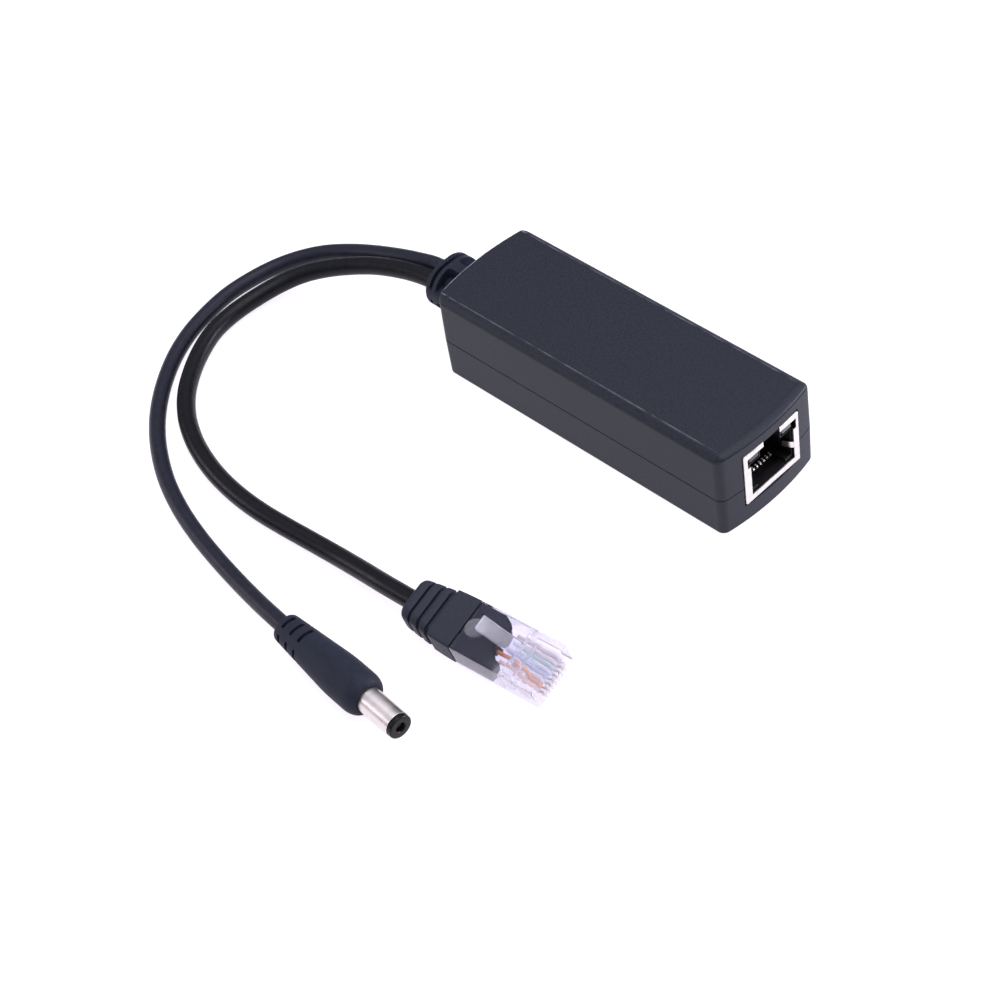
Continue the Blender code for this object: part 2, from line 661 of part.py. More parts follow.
def build_jack_insert(finish, frame):
    """Moulded insert: the plug's space, the contact trough, the latch channel and lens bays."""
    half = JACK_WIDTH / 2 - SHEET - SEAT_GAP
    rear = JACK_REAR + SHEET + SEAT_GAP
    top = JACK_TOP - SHEET - SEAT_GAP
    body = solid("jack_insert", box((rear, -half, JACK_BASE), (INSERT_FACE, half, top)), finish,
                 frame)
    back = INSERT_FACE - PLUG_SPACE_DEPTH
    front = JACK_FACE
    side = PLUG_SPACE_WIDTH / 2
    channel = CHANNEL_WIDTH / 2
    latch = LATCH_SPACE_WIDTH / 2
    notch = LATCH_NOTCH_WIDTH / 2
    shoulder = JACK_BASE + SHOULDER_RISE
    sill = JACK_BASE + CHANNEL_SILL
    space = [(channel, sill), (channel, shoulder), (side, shoulder), (side, MOUTH_TOP),
             (latch, MOUTH_TOP), (latch, WINDOW_TOP), (notch, WINDOW_TOP), (notch, top - SHEET)]
    carve(body, prism(space + [(-y, z) for y, z in reversed(space)], back, front, "X"))
    tail = rear + CONTACT_TAIL_INSET
    carve(body, box((back - SEAT_GAP, -channel, JACK_BASE + TROUGH_RISE),
                    (INSERT_FACE - TROUGH_FRONT, channel, shoulder)))
    carve(body, box((tail - 2 * SEAT_GAP, -channel, JACK_BASE - SEAT_GAP),
                    (back, channel, JACK_BASE + TROUGH_RISE + 2 * CONTACT_THICKNESS + SEAT_GAP)))
    bays = bmesh.new()
    low, high = finger_root()
    for sign in (-1, 1):
        inner = sign * (WINDOW_WIDTH / 2 - LENS_WIDTH - 2 * LENS_GAP)
        outer = sign * JACK_WIDTH / 2
        first, last = sorted((inner, outer))
        add_box(bays, (INSERT_FACE - LENS_DEPTH - LENS_GAP, first, MOUTH_TOP + LENS_GAP),
                (front, last, WINDOW_TOP + LENS_GAP))
    carve(body, bays)
    notches = bmesh.new()
    for sign in (-1, 1):
        first, last = sorted((sign * (side - FINGER_REACH), sign * (half + SHEET)))
        add_box(notches, (JACK_FACE - FINGER_LENGTH - 2 * SHEET, first, low - SHEET),
                (front, last, high + SHEET / 2))
    carve(body, notches)


def strip_outline(path, thickness):
    """Both sides of a bent strip whose centre line is given in X and Z."""
    left, right = [], []
    for index, point in enumerate(path):
        before = Vector(path[max(index - 1, 0)])
        after = Vector(path[min(index + 1, len(path) - 1)])
        here = Vector(point)
        into = (here - before).normalized() if index else (after - here).normalized()
        out = (after - here).normalized() if index < len(path) - 1 else into
        along = (into + out).normalized()
        normal = Vector((-along.y, along.x))
        width = thickness / 2 / max(0.5, normal.dot(Vector((-into.y, into.x))))
        left.append(tuple(here + normal * width))
        right.append(tuple(here - normal * width))
    return left + list(reversed(right))


def build_jack_contacts(finish, frame):
    """Eight spring wires: a tail to the board, a run along the trough, then the rising spring."""
    rear = JACK_REAR + SHEET + SEAT_GAP + CONTACT_TAIL_INSET
    run = JACK_BASE + TROUGH_RISE + SEAT_GAP + CONTACT_THICKNESS / 2
    bend = INSERT_FACE - CONTACT_FRONT
    lift = 2 * CONTACT_THICKNESS
    tip = (bend - CONTACT_SPRING_LENGTH * math.cos(CONTACT_RISE_ANGLE),
           run + lift + CONTACT_SPRING_LENGTH * math.sin(CONTACT_RISE_ANGLE))
    path = [(rear, JACK_BASE), (rear, run - CONTACT_THICKNESS), (rear + CONTACT_THICKNESS, run),
            (bend, run), (bend + CONTACT_THICKNESS, run + lift / 2), (bend, run + lift), tip]
    outline = strip_outline(path, CONTACT_THICKNESS)
    for index in range(CONTACT_COUNT):
        y = (index - (CONTACT_COUNT - 1) / 2) * CONTACT_PITCH
        solid(f"jack_contact_{index + 1}",
              prism(outline, y - CONTACT_WIDTH / 2, y + CONTACT_WIDTH / 2, "Y"), finish, frame)


def build_lenses(finish, frame):
    """Two clear light pipes in the socket's upper corners."""
    outer = WINDOW_WIDTH / 2 - LENS_GAP
    face = INSERT_FACE - LENS_SETBACK
    low = MOUTH_TOP + 2 * LENS_GAP
    for name, sign in (("led_lens_left", -1), ("led_lens_right", 1)):
        first, last = sorted((sign * outer, sign * (outer - LENS_WIDTH)))
        solid(name, rounded_box((face - LENS_DEPTH + LENS_SETBACK, first, low),
                                (face, last, low + LENS_HEIGHT), LENS_HEIGHT / 6), finish, frame)


def bay_place(share):
    """A place along the bay between the board's rear edge and the socket."""
    return BOARD_REAR + share * BAY_LENGTH


def build_lan_transformer(finish):
    """Moulded isolation transformer block behind the socket."""
    low = bay_place(LAN_START_SHARE)
    half = LAN_WIDTH_SHARE * BOARD_HALF_WIDTH / 2
    solid("lan_transformer", rounded_box((low, -half, PART_BASE),
                                         (low + LAN_LENGTH_SHARE * BAY_LENGTH, half,
                                          PART_BASE + LAN_HEIGHT), INNER_FILLET), finish)


def build_transformer(core_finish, winding_finish):
    """Ferrite core of two windows and a leg, with the winding round the leg."""
    x = TRANSFORMER_X
    base = PART_BASE + CORE_FOOT
    top = ROOF - CORE_ROOF_CLEARANCE
    half = CORE_WIDTH_SHARE * BOARD_HALF_WIDTH / 2
    leg = CORE_LEG_SHARE * BOARD_HALF_WIDTH
    body = solid("transformer_core", box((x - CORE_DEPTH / 2, -half, base),
                                         (x + CORE_DEPTH / 2, half, top)), core_finish)
    windows = bmesh.new()
    for sign in (-1, 1):
        first, last = sorted((sign * leg / 2, sign * (half - leg / 2)))
        add_box(windows, (x - CORE_DEPTH, first, base + CORE_YOKE),
                (x + CORE_DEPTH, last, top - CORE_YOKE))
    carve(body, windows)
    inner_y = leg / 2 + SEAT_GAP
    inner_x = CORE_DEPTH / 2 + SEAT_GAP
    low = base + CORE_YOKE + SEAT_GAP
    high = top - CORE_YOKE - SEAT_GAP
    side = half - leg / 2 - inner_y - SEAT_GAP
    winding = solid("transformer_winding",
                    rounded_box((x - inner_x - WINDING_WALL, -inner_y - side, low),
                                (x + inner_x + WINDING_WALL, inner_y + side, high), side / 4),
                    winding_finish)
    carve(winding, box((x - inner_x, -inner_y, low - CORE_YOKE),
                       (x + inner_x, inner_y, high + CORE_YOKE)))
    feet = bmesh.new()
    for sign in (-1, 1):
        first = x + sign * (inner_x + WINDING_WALL / 2)
        add_box(feet, (first - WINDING_WALL / 4, -inner_y, PART_BASE),
                (first + WINDING_WALL / 4, inner_y, low + WINDING_WALL / 2))
    carve(winding, feet, "UNION")


def build_capacitor(name, shares, finish):
    """Upright can capacitor with its crimped groove near the foot."""
    radius = CAPACITOR_RADIUS
    bead = CAPACITOR_BEAD
    x = bay_place(shares[0])
    y = shares[1] * BOARD_HALF_WIDTH
    high = ROOF - CAPACITOR_ROOF_CLEARANCE - PART_BASE
    profile = [(0.0, radius - bead), (bead, radius), (5 * bead, radius), (6 * bead, radius - 2 * bead),
               (7 * bead, radius), (high - bead, radius), (high, radius - bead)]
    rings = []
    for risen, size in profile:
        ring = []
        for index in range(20):
            angle = 2 * math.pi * index / 20
            ring.append(Vector((x + size * math.cos(angle), y + size * math.sin(angle),
                                PART_BASE + risen)))
        rings.append(ring)
    solid(name, loft(rings), finish)


def build_package(name, place_share, size_share, height, finish):
    """Small moulded component that lies on the board."""
    x = bay_place(place_share[0])
    y = place_share[1] * BOARD_HALF_WIDTH
    length = size_share[0] * BAY_LENGTH
    width = size_share[1] * BOARD_HALF_WIDTH
    solid(name, rounded_box((x - length / 2, y - width / 2, PART_BASE),
                            (x + length / 2, y + width / 2, PART_BASE + height),
                            height / 8, 1), finish)


def build_board_parts(finishes):
    """Everything that is soldered to the board behind the socket."""
    build_lan_transformer(finishes["ic"])
    build_transformer(finishes["ferrite"], finishes["tape"])
    build_capacitor("input_capacitor", INPUT_CAPACITOR_SHARE, finishes["can"])
    build_capacitor("output_capacitor", OUTPUT_CAPACITOR_SHARE, finishes["can"])
    build_package("output_diode", DIODE_PLACE_SHARE, (DIODE_LENGTH_SHARE, DIODE_WIDTH_SHARE),
                  DIODE_HEIGHT, finishes["ic"])
    bridge = (BRIDGE_LENGTH_SHARE, BRIDGE_WIDTH_SHARE)
    build_package("bridge_rectifier_a", (BRIDGE_PLACE_SHARE, BRIDGE_A_SHARE), bridge,
                  PACKAGE_HEIGHT, finishes["ic"])
    build_package("bridge_rectifier_b", (BRIDGE_PLACE_SHARE, BRIDGE_B_SHARE), bridge,
                  PACKAGE_HEIGHT, finishes["ic"])
    front = CORE_PLACE_SHARE + CORE_DEPTH_SHARE / 2 + WINDING_SHARE
    build_package("controller_chip", ((front + LAN_START_SHARE) / 2, 0.0),
                  (CHIP_LENGTH_SHARE, CHIP_WIDTH_SHARE), PACKAGE_HEIGHT, finishes["ic"])


def relief_ring(along, half_width, half_height, steps=9):
    """One flat oval ring: half rounds at both sides and straight runs above and below."""
    straight = max(half_width - half_height, 0.0)
    ring = []
    for side in (1, -1):
        for step in range(steps + 1):
            angle = math.pi * (step / steps - 0.5)
            y = side * (straight + half_height * math.cos(angle))
            z = PARTING_HEIGHT + side * half_height * math.sin(angle)
            ring.append(Vector((along, y, z)))
    return ring


def relief_quarter(side, level, grown, link=0.0, steps=5):
    """A quarter of the oval, from the bridge at its side to the link at its top or bottom."""
    half_height = RELIEF_HALF_HEIGHT + grown
    straight = RELIEF_HALF_WIDTH - RELIEF_HALF_HEIGHT
    bridge = RELIEF_BRIDGE_TOP if level > 0 else RELIEF_BRIDGE_BOTTOM
    start = math.asin(bridge / half_height)
    points = []
    for step in range(steps + 1):
        angle = start + (math.pi / 2 - start) * step / steps
        points.append((side * (straight + half_height * math.cos(angle)),
                       PARTING_HEIGHT + level * half_height * math.sin(angle)))
    if link:
        points.append((side * link / 2, PARTING_HEIGHT + level * half_height))
    return points


def relief_slots():
    """Cutters for the strain relief: a row of slots above and below, then a row of four windows."""
    cutters = bmesh.new()
    start = RELIEF_FACE + RELIEF_RING
    for level in (-1, 1):
        outer = relief_quarter(1, level, WALL) + relief_quarter(-1, level, WALL)[::-1]
        inner = (relief_quarter(1, level, -RELIEF_SLOT_DEPTH)
                 + relief_quarter(-1, level, -RELIEF_SLOT_DEPTH)[::-1])
        add_prism(cutters, outer + inner[::-1], start, start + RELIEF_SLOT, "X")
        for side in (-1, 1):
            outer = relief_quarter(side, level, WALL, RELIEF_LINK)
            inner = relief_quarter(side, level, -RELIEF_WINDOW_DEPTH, RELIEF_LINK)
            low = start + RELIEF_SLOT + RELIEF_BAND
            add_prism(cutters, outer + inner[::-1], low, low + RELIEF_WINDOW, "X")
    return cutters


def build_cable_boot(finish):
    """Strain relief: slotted end ring, band, windowed sleeve, neck in the wall, inner flange."""
    sections = []
    end_w, end_h = RELIEF_END_HALF_WIDTH, RELIEF_END_HALF_HEIGHT
    full_w, full_h = RELIEF_HALF_WIDTH, RELIEF_HALF_HEIGHT
    soft = RELIEF_ROUND
    sections.append((RELIEF_FACE, -soft, end_w, end_h))
    sections.append((RELIEF_FACE + 0.3 * soft, -0.3 * soft, end_w, end_h))
    sections.append((RELIEF_FACE + soft, 0.0, end_w, end_h))
    sections.append((RELIEF_SHOULDER - soft / 2, 0.0, full_w, full_h))
    sections.append((RELIEF_SHOULDER, -soft / 2, full_w, full_h))
    neck_w, neck_h = RELIEF_NECK_HALF_WIDTH, RELIEF_NECK_HALF_HEIGHT
    sections.append((RELIEF_SHOULDER, 0.0, neck_w, neck_h))
    sections.append((RELIEF_INNER - RELIEF_FLANGE, 0.0, neck_w, neck_h))
    sections.append((RELIEF_INNER - RELIEF_FLANGE, 0.0, full_w - soft, full_h - soft))
    sections.append((RELIEF_INNER, 0.0, full_w - soft, full_h - soft))
    rings = [relief_ring(x, width + grown, height + grown) for x, grown, width, height in sections]
    body = solid("cable_boot", loft(rings), finish)
    carve(body, relief_slots())


def build_leads(data_finish, dc_finish):
    """Conductors from the strain relief's inner face down to the board."""
    start_x = RELIEF_INNER + CABLE_END_GAP
    drop = start_x + 5 * LEAD_PITCH
    data_y = -CABLE_SPACING / 2
    grid = [(column, row) for column in (-1, 0, 1) for row in (-1, 0, 1) if (column, row) != (0, 0)]
    pad_height = PART_BASE
    pad_pitch = (BOARD_HALF_WIDTH - LEAD_PAD_MARGIN) / (len(grid) - 0.4)
    for index, (column, row) in enumerate(grid):
        y = data_y + column * LEAD_PITCH
        z = PARTING_HEIGHT + row * LEAD_PITCH
        pad_y = -(len(grid) - index - 0.4) * pad_pitch
        pad_x = drop + LEAD_PITCH
        route = [(start_x, y, z), (start_x + LEAD_PITCH, y, z),
                 (start_x + 3.4 * LEAD_PITCH, (y + pad_y) / 2, z - LEAD_PITCH / 2),
                 (drop + 0.6 * LEAD_PITCH, pad_y, pad_height + 1.6 * LEAD_PITCH),
                 (pad_x, pad_y, pad_height)]
        tube(f"data_lead_{index + 1}", route, LEAD_DIAMETER, 2.4 * LEAD_DIAMETER, data_finish, 1)
    dc_y = CABLE_SPACING / 2
    for name, side, pad_y in (("dc_lead_positive", 1, 4.6), ("dc_lead_negative", -1, 1.9)):
        y = dc_y + side * DC_LEAD_DIAMETER * 0.65
        pad_y *= pad_pitch
        route = [(start_x, y, PARTING_HEIGHT), (start_x + LEAD_PITCH, y, PARTING_HEIGHT),
                 (start_x + 2.4 * LEAD_PITCH, (y + pad_y) / 2, PARTING_HEIGHT - LEAD_PITCH),
                 (start_x + 3.4 * LEAD_PITCH, pad_y, pad_height + LEAD_PITCH),
                 (start_x + 3.6 * LEAD_PITCH, pad_y, pad_height)]
        tube(name, route, DC_LEAD_DIAMETER, 1.8 * DC_LEAD_DIAMETER, dc_finish, 1)


def build_cables(finish, data_end, dc_end):
    """The two cables, from the strain relief's face to the rear of their plugs."""
    start = RELIEF_FACE - CABLE_END_GAP
    data_route = [(start, -CABLE_SPACING / 2, PARTING_HEIGHT), *DATA_ROUTE, data_end]
    dc_route = [(start, CABLE_SPACING / 2, PARTING_HEIGHT), *DC_ROUTE, dc_end]
    tube("data_cable", data_route, DATA_CABLE_DIAMETER, 2 * DATA_CABLE_DIAMETER, finish)
    tube("dc_cable", dc_route, DC_CABLE_DIAMETER, 2 * DC_CABLE_DIAMETER, finish)


def latch_outline(thickness, start, end):
    """Side view of the latch lever, from its root backwards and up, between two stations."""
    root = PLUG_LENGTH - LATCH_ROOT_SETBACK
    slope = math.tan(LATCH_ANGLE)
    depth = thickness / math.cos(LATCH_ANGLE)
    front = root - start
    rear = root - end
    return [(front, PLUG_HEIGHT + slope * start), (rear, PLUG_HEIGHT + slope * end),
            (rear, PLUG_HEIGHT + slope * end - depth), (front, PLUG_HEIGHT + slope * start - depth)]


def blade_pitch(index):
    """Sideways place of one conductor in the plug."""
    return (index - (CONTACT_COUNT - 1) / 2) * CONTACT_PITCH


def build_plug_body(finish, frame):
    """Clear plug: rounded body, hollow rear, wire slot, blade slots, latch and its rest."""
    half = PLUG_WIDTH / 2
    shape = rounded_box((PLUG_SEAM, -half, 0.0), (PLUG_LENGTH, half, PLUG_HEIGHT), PLUG_EDGE)
    body = solid("plug_body", shape, finish, frame)
    bump = bmesh.new()
    levels = [(BUMP_RADIUS, -PLUG_EDGE), (BUMP_RADIUS, 0.5 * BUMP_HEIGHT),
              (0.85 * BUMP_RADIUS, 0.85 * BUMP_HEIGHT), (0.5 * BUMP_RADIUS, BUMP_HEIGHT)]
    rings = []
    for radius, height in levels:
        rings.append([Vector((BUMP_CENTRE + radius * math.cos(2 * math.pi * step / 16),
                              radius * math.sin(2 * math.pi * step / 16), PLUG_HEIGHT + height))
                      for step in range(16)])
    bump.free()
    carve(body, loft(rings), "UNION")
    carve(body, prism(latch_outline(LATCH_THICKNESS, -0.0004, LATCH_LENGTH),
                      -LATCH_WIDTH / 2, LATCH_WIDTH / 2, "Y"), "UNION")
    carve(body, prism(latch_outline(CATCH_THICKNESS, 0.0002, CATCH_LENGTH),
                      -CATCH_WIDTH / 2, CATCH_WIDTH / 2, "Y"), "UNION")
    cavity = half - PLUG_WALL
    carve(body, box((-PLUG_WALL, -cavity, PLUG_FLOOR),
                    (PLUG_CAVITY_LENGTH, cavity, PLUG_HEIGHT - PLUG_WALL)))
    carve(body, box((PLUG_CAVITY_LENGTH - PLUG_WALL, -WIRE_SLOT_WIDTH / 2, WIRE_SLOT_RISE),
                    (PLUG_LENGTH - WIRE_SLOT_END, WIRE_SLOT_WIDTH / 2,
                     WIRE_SLOT_RISE + WIRE_SLOT_HEIGHT)))
    slots = bmesh.new()
    for index in range(CONTACT_COUNT):
        y = blade_pitch(index)
        add_box(slots, (PLUG_LENGTH - BLADE_LENGTH - 2 * BLADE_TIP_SETBACK, y - BLADE_SLOT / 2,
                        -PLUG_EDGE),
                (PLUG_LENGTH + PLUG_EDGE, y + BLADE_SLOT / 2, WIRE_SLOT_RISE + PLUG_SEAM))
    carve(body, slots)


def build_plug_blades(finish, frame):
    """Eight contact blades, stepped at the front as the stamped ones are."""
    front = PLUG_LENGTH - BLADE_TIP_SETBACK
    rear = front - BLADE_LENGTH
    top = WIRE_SLOT_RISE - PLUG_SEAM
    notch = BLADE_LENGTH / 5
    outline = [(rear, BLADE_RISE), (front - notch / 2, BLADE_RISE), (front, BLADE_RISE + notch / 2),
               (front, top - notch), (front - notch, top - notch), (front - notch, top),
               (rear, top)]
    for index in range(CONTACT_COUNT):
        y = blade_pitch(index)
        solid(f"plug_contact_{index + 1}",
              prism(outline, y - BLADE_THICKNESS / 2, y + BLADE_THICKNESS / 2, "Y"), finish, frame)


def build_plug_wires(finishes, frame):
    """Eight insulated wires that leave the overmoulding in two layers and lie side by side in front."""
    start = TONGUE_LENGTH + 0.0011
    end = PLUG_LENGTH - WIRE_SLOT_END - SEAT_GAP
    level = WIRE_SLOT_RISE + WIRE_SLOT_HEIGHT / 2
    settled = PLUG_CAVITY_LENGTH - 0.0002
    for index in range(CONTACT_COUNT):
        y = blade_pitch(index)
        layer = level + (0.00055 if index % 2 else -0.00055)
        route = [(start, 0.62 * y, layer), (start + 0.0008, 0.70 * y, layer),
                 ((start + settled) / 2 + 0.0004, 0.90 * y, (layer + level) / 2),
                 (settled, y, level), (settled + 0.0015, y, level), (end, y, level)]
        tube(f"plug_wire_{index + 1}", route, WIRE_DIAMETER, 1.6 * WIRE_DIAMETER,
             finishes[index], 1, frame)


def boot_ring(along, width, height, radius, steps=5):
    """One ring of the plug's overmoulding: flat on all sides, with rounded corners."""
    ring = []
    corners = [(1, 1), (-1, 1), (-1, -1), (1, -1)]
    for quarter, (side, level) in enumerate(corners):
        for step in range(steps):
            angle = math.pi / 2 * (quarter + step / (steps - 1))
            y = side * (width / 2 - radius) + radius * math.cos(angle)
            z = height / 2 + level * (height / 2 - radius) + radius * math.sin(angle)
            ring.append(Vector((along, y, z)))
    return ring


def build_plug_boot(finish, frame):
    """Black overmoulding: ringed rear, flat sleeve and the tongue that fills the clear plug's rear."""
    sections = [(-BOOT_LENGTH, 0.80), (-BOOT_LENGTH + 0.0004, 0.93), (-BOOT_LENGTH + 0.0010, 1.0)]
    for index, groove in enumerate(BOOT_GROOVES):
        at = -BOOT_LENGTH + (index + 1) * BOOT_RING_PITCH - groove / 2
        sections += [(at, 1.0), (at, 0.0), (at + groove, 0.0), (at + groove, 1.0)]
    sleeve_start = len(sections) - 1
    sections.append((-BOOT_LENGTH / 4, 1.0))
    sections.append((0.0, 1.0))
    rings = []
    for index, (along, fullness) in enumerate(sections):
        share = 1 - (along / -BOOT_LENGTH) ** 1.6
        width = BOOT_END_WIDTH + (PLUG_WIDTH - BOOT_END_WIDTH) * share
        height = BOOT_END_HEIGHT + (PLUG_HEIGHT - BOOT_END_HEIGHT) * share
        trim = 2 * BOOT_GROOVE_DEPTH * (1 - fullness)
        corner = BOOT_SLEEVE_CORNER if index >= sleeve_start else BOOT_RING_CORNER - trim / 2
        ring = boot_ring(along, width - trim, height - trim, corner)
        rings.append([point + Vector((0, 0, trim / 2)) for point in ring])
    body = solid("plug_boot", loft(rings), finish, frame)
    side = PLUG_WIDTH / 2 - PLUG_WALL - SEAT_GAP
    low = PLUG_FLOOR + SEAT_GAP
    high = PLUG_HEIGHT - PLUG_WALL - SEAT_GAP
    teeth = 7
    front = []
    for tooth in range(teeth + 1):
        y = -side + 2 * side * tooth / teeth
        dip = 0.0008 if tooth % 2 else 0.0
        front.append((TONGUE_LENGTH - dip - 0.0012 * tooth / teeth, y))
    plan = [(-PLUG_WALL, -side), *front, (-PLUG_WALL, side)]
    rings = []
    for height, cut in ((low, 0.0030), (high, 0.0)):
        rings.append([Vector((max(x - cut, -PLUG_WALL) if x > 0 else x, y, height)) for x, y in plan])
    carve(body, loft(rings), "UNION")


def handle_radius(along):
    """Radius of the DC handle's taper at a distance from its rear face."""
    share = min(1.0, along / HANDLE_TAPER_LENGTH)
    eased = (math.sin(math.pi / 2 * share) + (1 - math.cos(math.pi * share)) / 2) / 2
    return HANDLE_REAR_RADIUS + (HANDLE_RADIUS - HANDLE_REAR_RADIUS) * eased


def handle_profile():
    """Half outline of the DC handle, from its rear face to its front shoulder."""
    profile = [(0.0, HANDLE_REAR_RADIUS - 0.0005), (0.0003, HANDLE_REAR_RADIUS - 0.0001)]
    steps = 7
    for step in range(1, steps + 1):
        along = HANDLE_TAPER_LENGTH * step / steps
        profile.append((along, handle_radius(along)))
    start = HANDLE_LENGTH - HANDLE_SHOULDER
    inner = BARREL_RADIUS + BARREL_CLEARANCE
    rounds = 4
    for step in range(rounds + 1):
        angle = math.pi / 2 * step / rounds
        profile.append((start + HANDLE_SHOULDER * math.sin(angle),
                        inner + 0.0003 + (HANDLE_RADIUS - inner - 0.0003) * math.cos(angle)))
    profile.append((HANDLE_LENGTH, inner))
    profile.append((HANDLE_LENGTH - BARREL_SEAT - SEAT_GAP, inner))
    return profile


def sector_outline(middle, half_angle, inner, outer, steps=3):
    """Sector of a ring in Y and Z, between two radii."""
    angles = [middle + half_angle * (2 * step / steps - 1) for step in range(steps + 1)]
    far = [(outer * math.cos(angle), outer * math.sin(angle)) for angle in angles]
    near = [(inner * math.cos(angle), inner * math.sin(angle)) for angle in reversed(angles)]
    return far + near


def build_dc_handle(finish, frame):
    """Overmoulded handle with rows of slots round its flexible end and the barrel's seat."""
    body = solid("dc_handle", lathe(handle_profile()), finish, frame)
    slots = bmesh.new()
    for row in range(HANDLE_SLOT_ROWS):
        at = HANDLE_SLOT_FIRST + row * HANDLE_SLOT_PITCH
        surface = handle_radius(at)
        for side in range(HANDLE_SLOT_SIDES):
            outline = sector_outline(2 * math.pi * side / HANDLE_SLOT_SIDES, HANDLE_SLOT_HALF_ANGLE,
                                     surface - HANDLE_SLOT_DEPTH, surface + WALL)
            add_prism(slots, outline, at - HANDLE_SLOT_WIDTH / 2, at + HANDLE_SLOT_WIDTH / 2, "X")
    carve(body, slots)


def build_dc_tip(finishes, frame):
    """Plated barrel, black insulator with its bore, and the spring contact inside."""
    back = HANDLE_LENGTH - BARREL_SEAT
    tip = HANDLE_LENGTH + BARREL_LENGTH
    inner = BARREL_RADIUS - BARREL_WALL
    barrel = solid("dc_barrel", lathe([(back, BARREL_RADIUS), (tip, BARREL_RADIUS)]),
                   finishes["plate"], frame)
    carve(barrel, lathe([(back - BARREL_WALL, inner), (tip + BARREL_WALL, inner)]))
    core = inner - BARREL_CLEARANCE
    flange = tip + BARREL_CLEARANCE
    end = flange + TIP_LENGTH
    rim = BARREL_RADIUS - TIP_ROUND / 2
    profile = [(back + SEAT_GAP, core), (flange, core), (flange, rim), (end - TIP_ROUND, rim),
               (end, rim - TIP_ROUND), (end, BORE_RADIUS), (end - BORE_DEPTH, BORE_RADIUS)]
    solid("dc_insulator", lathe(profile), finishes["black"], frame)
    low = end - BORE_DEPTH + SEAT_GAP
    high = end - PIN_TUBE_SETBACK
    pin = solid("dc_center_contact", lathe([(low, PIN_TUBE_RADIUS), (high, PIN_TUBE_RADIUS)], 16),
                finishes["plate"], frame)
    carve(pin, lathe([(low + PIN_TUBE_WALL, PIN_TUBE_RADIUS - PIN_TUBE_WALL),
                      (high + PIN_TUBE_WALL, PIN_TUBE_RADIUS - PIN_TUBE_WALL)], 16))


def build():
    """Make every piece."""
    clear_scene()
    shell = finish_material("black ABS", (0.030, 0.033, 0.042), 0.55)
    pvc = finish_material("black PVC", (0.020, 0.020, 0.023), 0.50)
    nylon = finish_material("black nylon", (0.010, 0.010, 0.011), 0.45)
    tin = finish_material("tinned steel", (0.80, 0.78, 0.76), 0.25, 1.0)
    gold = finish_material("gold plate", (0.85, 0.65, 0.30), 0.25, 1.0)
    clear = finish_material("clear polycarbonate", (0.86, 0.86, 0.94), 0.08, 0.0, 0.35)
    board = finish_material("green board", (0.03, 0.14, 0.06), 0.45)
    wires = [finish_material(f"wire {number}", colour, 0.45) for number, colour in enumerate([
        (0.85, 0.55, 0.38), (0.80, 0.24, 0.05), (0.62, 0.75, 0.62), (0.06, 0.16, 0.50),
        (0.55, 0.66, 0.85), (0.05, 0.32, 0.12), (0.62, 0.48, 0.36), (0.22, 0.11, 0.05)], 1)]
    parts = {
        "ic": finish_material("moulding compound", (0.02, 0.02, 0.02), 0.5),
        "ferrite": finish_material("ferrite", (0.06, 0.06, 0.065), 0.6),
        "tape": finish_material("winding tape", (0.60, 0.45, 0.08), 0.4),
        "can": finish_material("capacitor sleeve", (0.02, 0.02, 0.025), 0.35),
    }
    build_lower_shell(shell)
    build_upper_shell(shell)
    build_board(board)
    build_board_parts(parts)
    build_cable_boot(pvc)
    build_leads(parts["tape"], pvc)

    socket = plug_frame("socket_frame", (0.0, JACK_OFFSET, 0.0), 0.0, 0.0)
    build_jack_shield(tin, socket)
    build_jack_insert(nylon, socket)
    build_jack_contacts(gold, socket)
    build_lenses(clear, socket)

    plug = plug_frame("plug_frame", (PLUG_X, PLUG_Y, PLUG_Z), PLUG_ROLL, PLUG_YAW)
    build_plug_body(clear, plug)
    build_plug_boot(pvc, plug)
    build_plug_blades(gold, plug)
    build_plug_wires(wires, plug)

    power = plug_frame("dc_plug_frame", (DC_X, DC_Y, DC_HEIGHT), 0.0, DC_YAW)
    build_dc_handle(pvc, power)
    build_dc_tip({"plate": tin, "black": nylon}, power)

    data_end = plug.matrix_world @ Vector((-BOOT_LENGTH - CABLE_END_GAP, 0.0, BOOT_END_HEIGHT / 2))
    dc_end = power.matrix_world @ Vector((-CABLE_END_GAP, 0.0, 0.0))
    build_cables(pvc, tuple(data_end), tuple(dc_end))


build()
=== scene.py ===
# %% [markdown]
# # Inline network power splitter, seen as in a product photograph
# A splitter of this kind takes power and data from one network cable, and gives them out as a
# network plug and a round power plug. This lesson puts the camera where the photograph was taken,
# lays the two cables, and builds each visible piece again with its small radii, seams and surface
# grain. Each piece gets a material named for what it is made of and how its surface was made.
#
# ## The imported frame
# The solids could be drawn over by eye, but then sizes drift. They are imported as they are, and
# each is hung on its rigid body.

# %% The imported frame and the tools
import json
import math

import bmesh
import bpy
from mathutils import Matrix, Vector

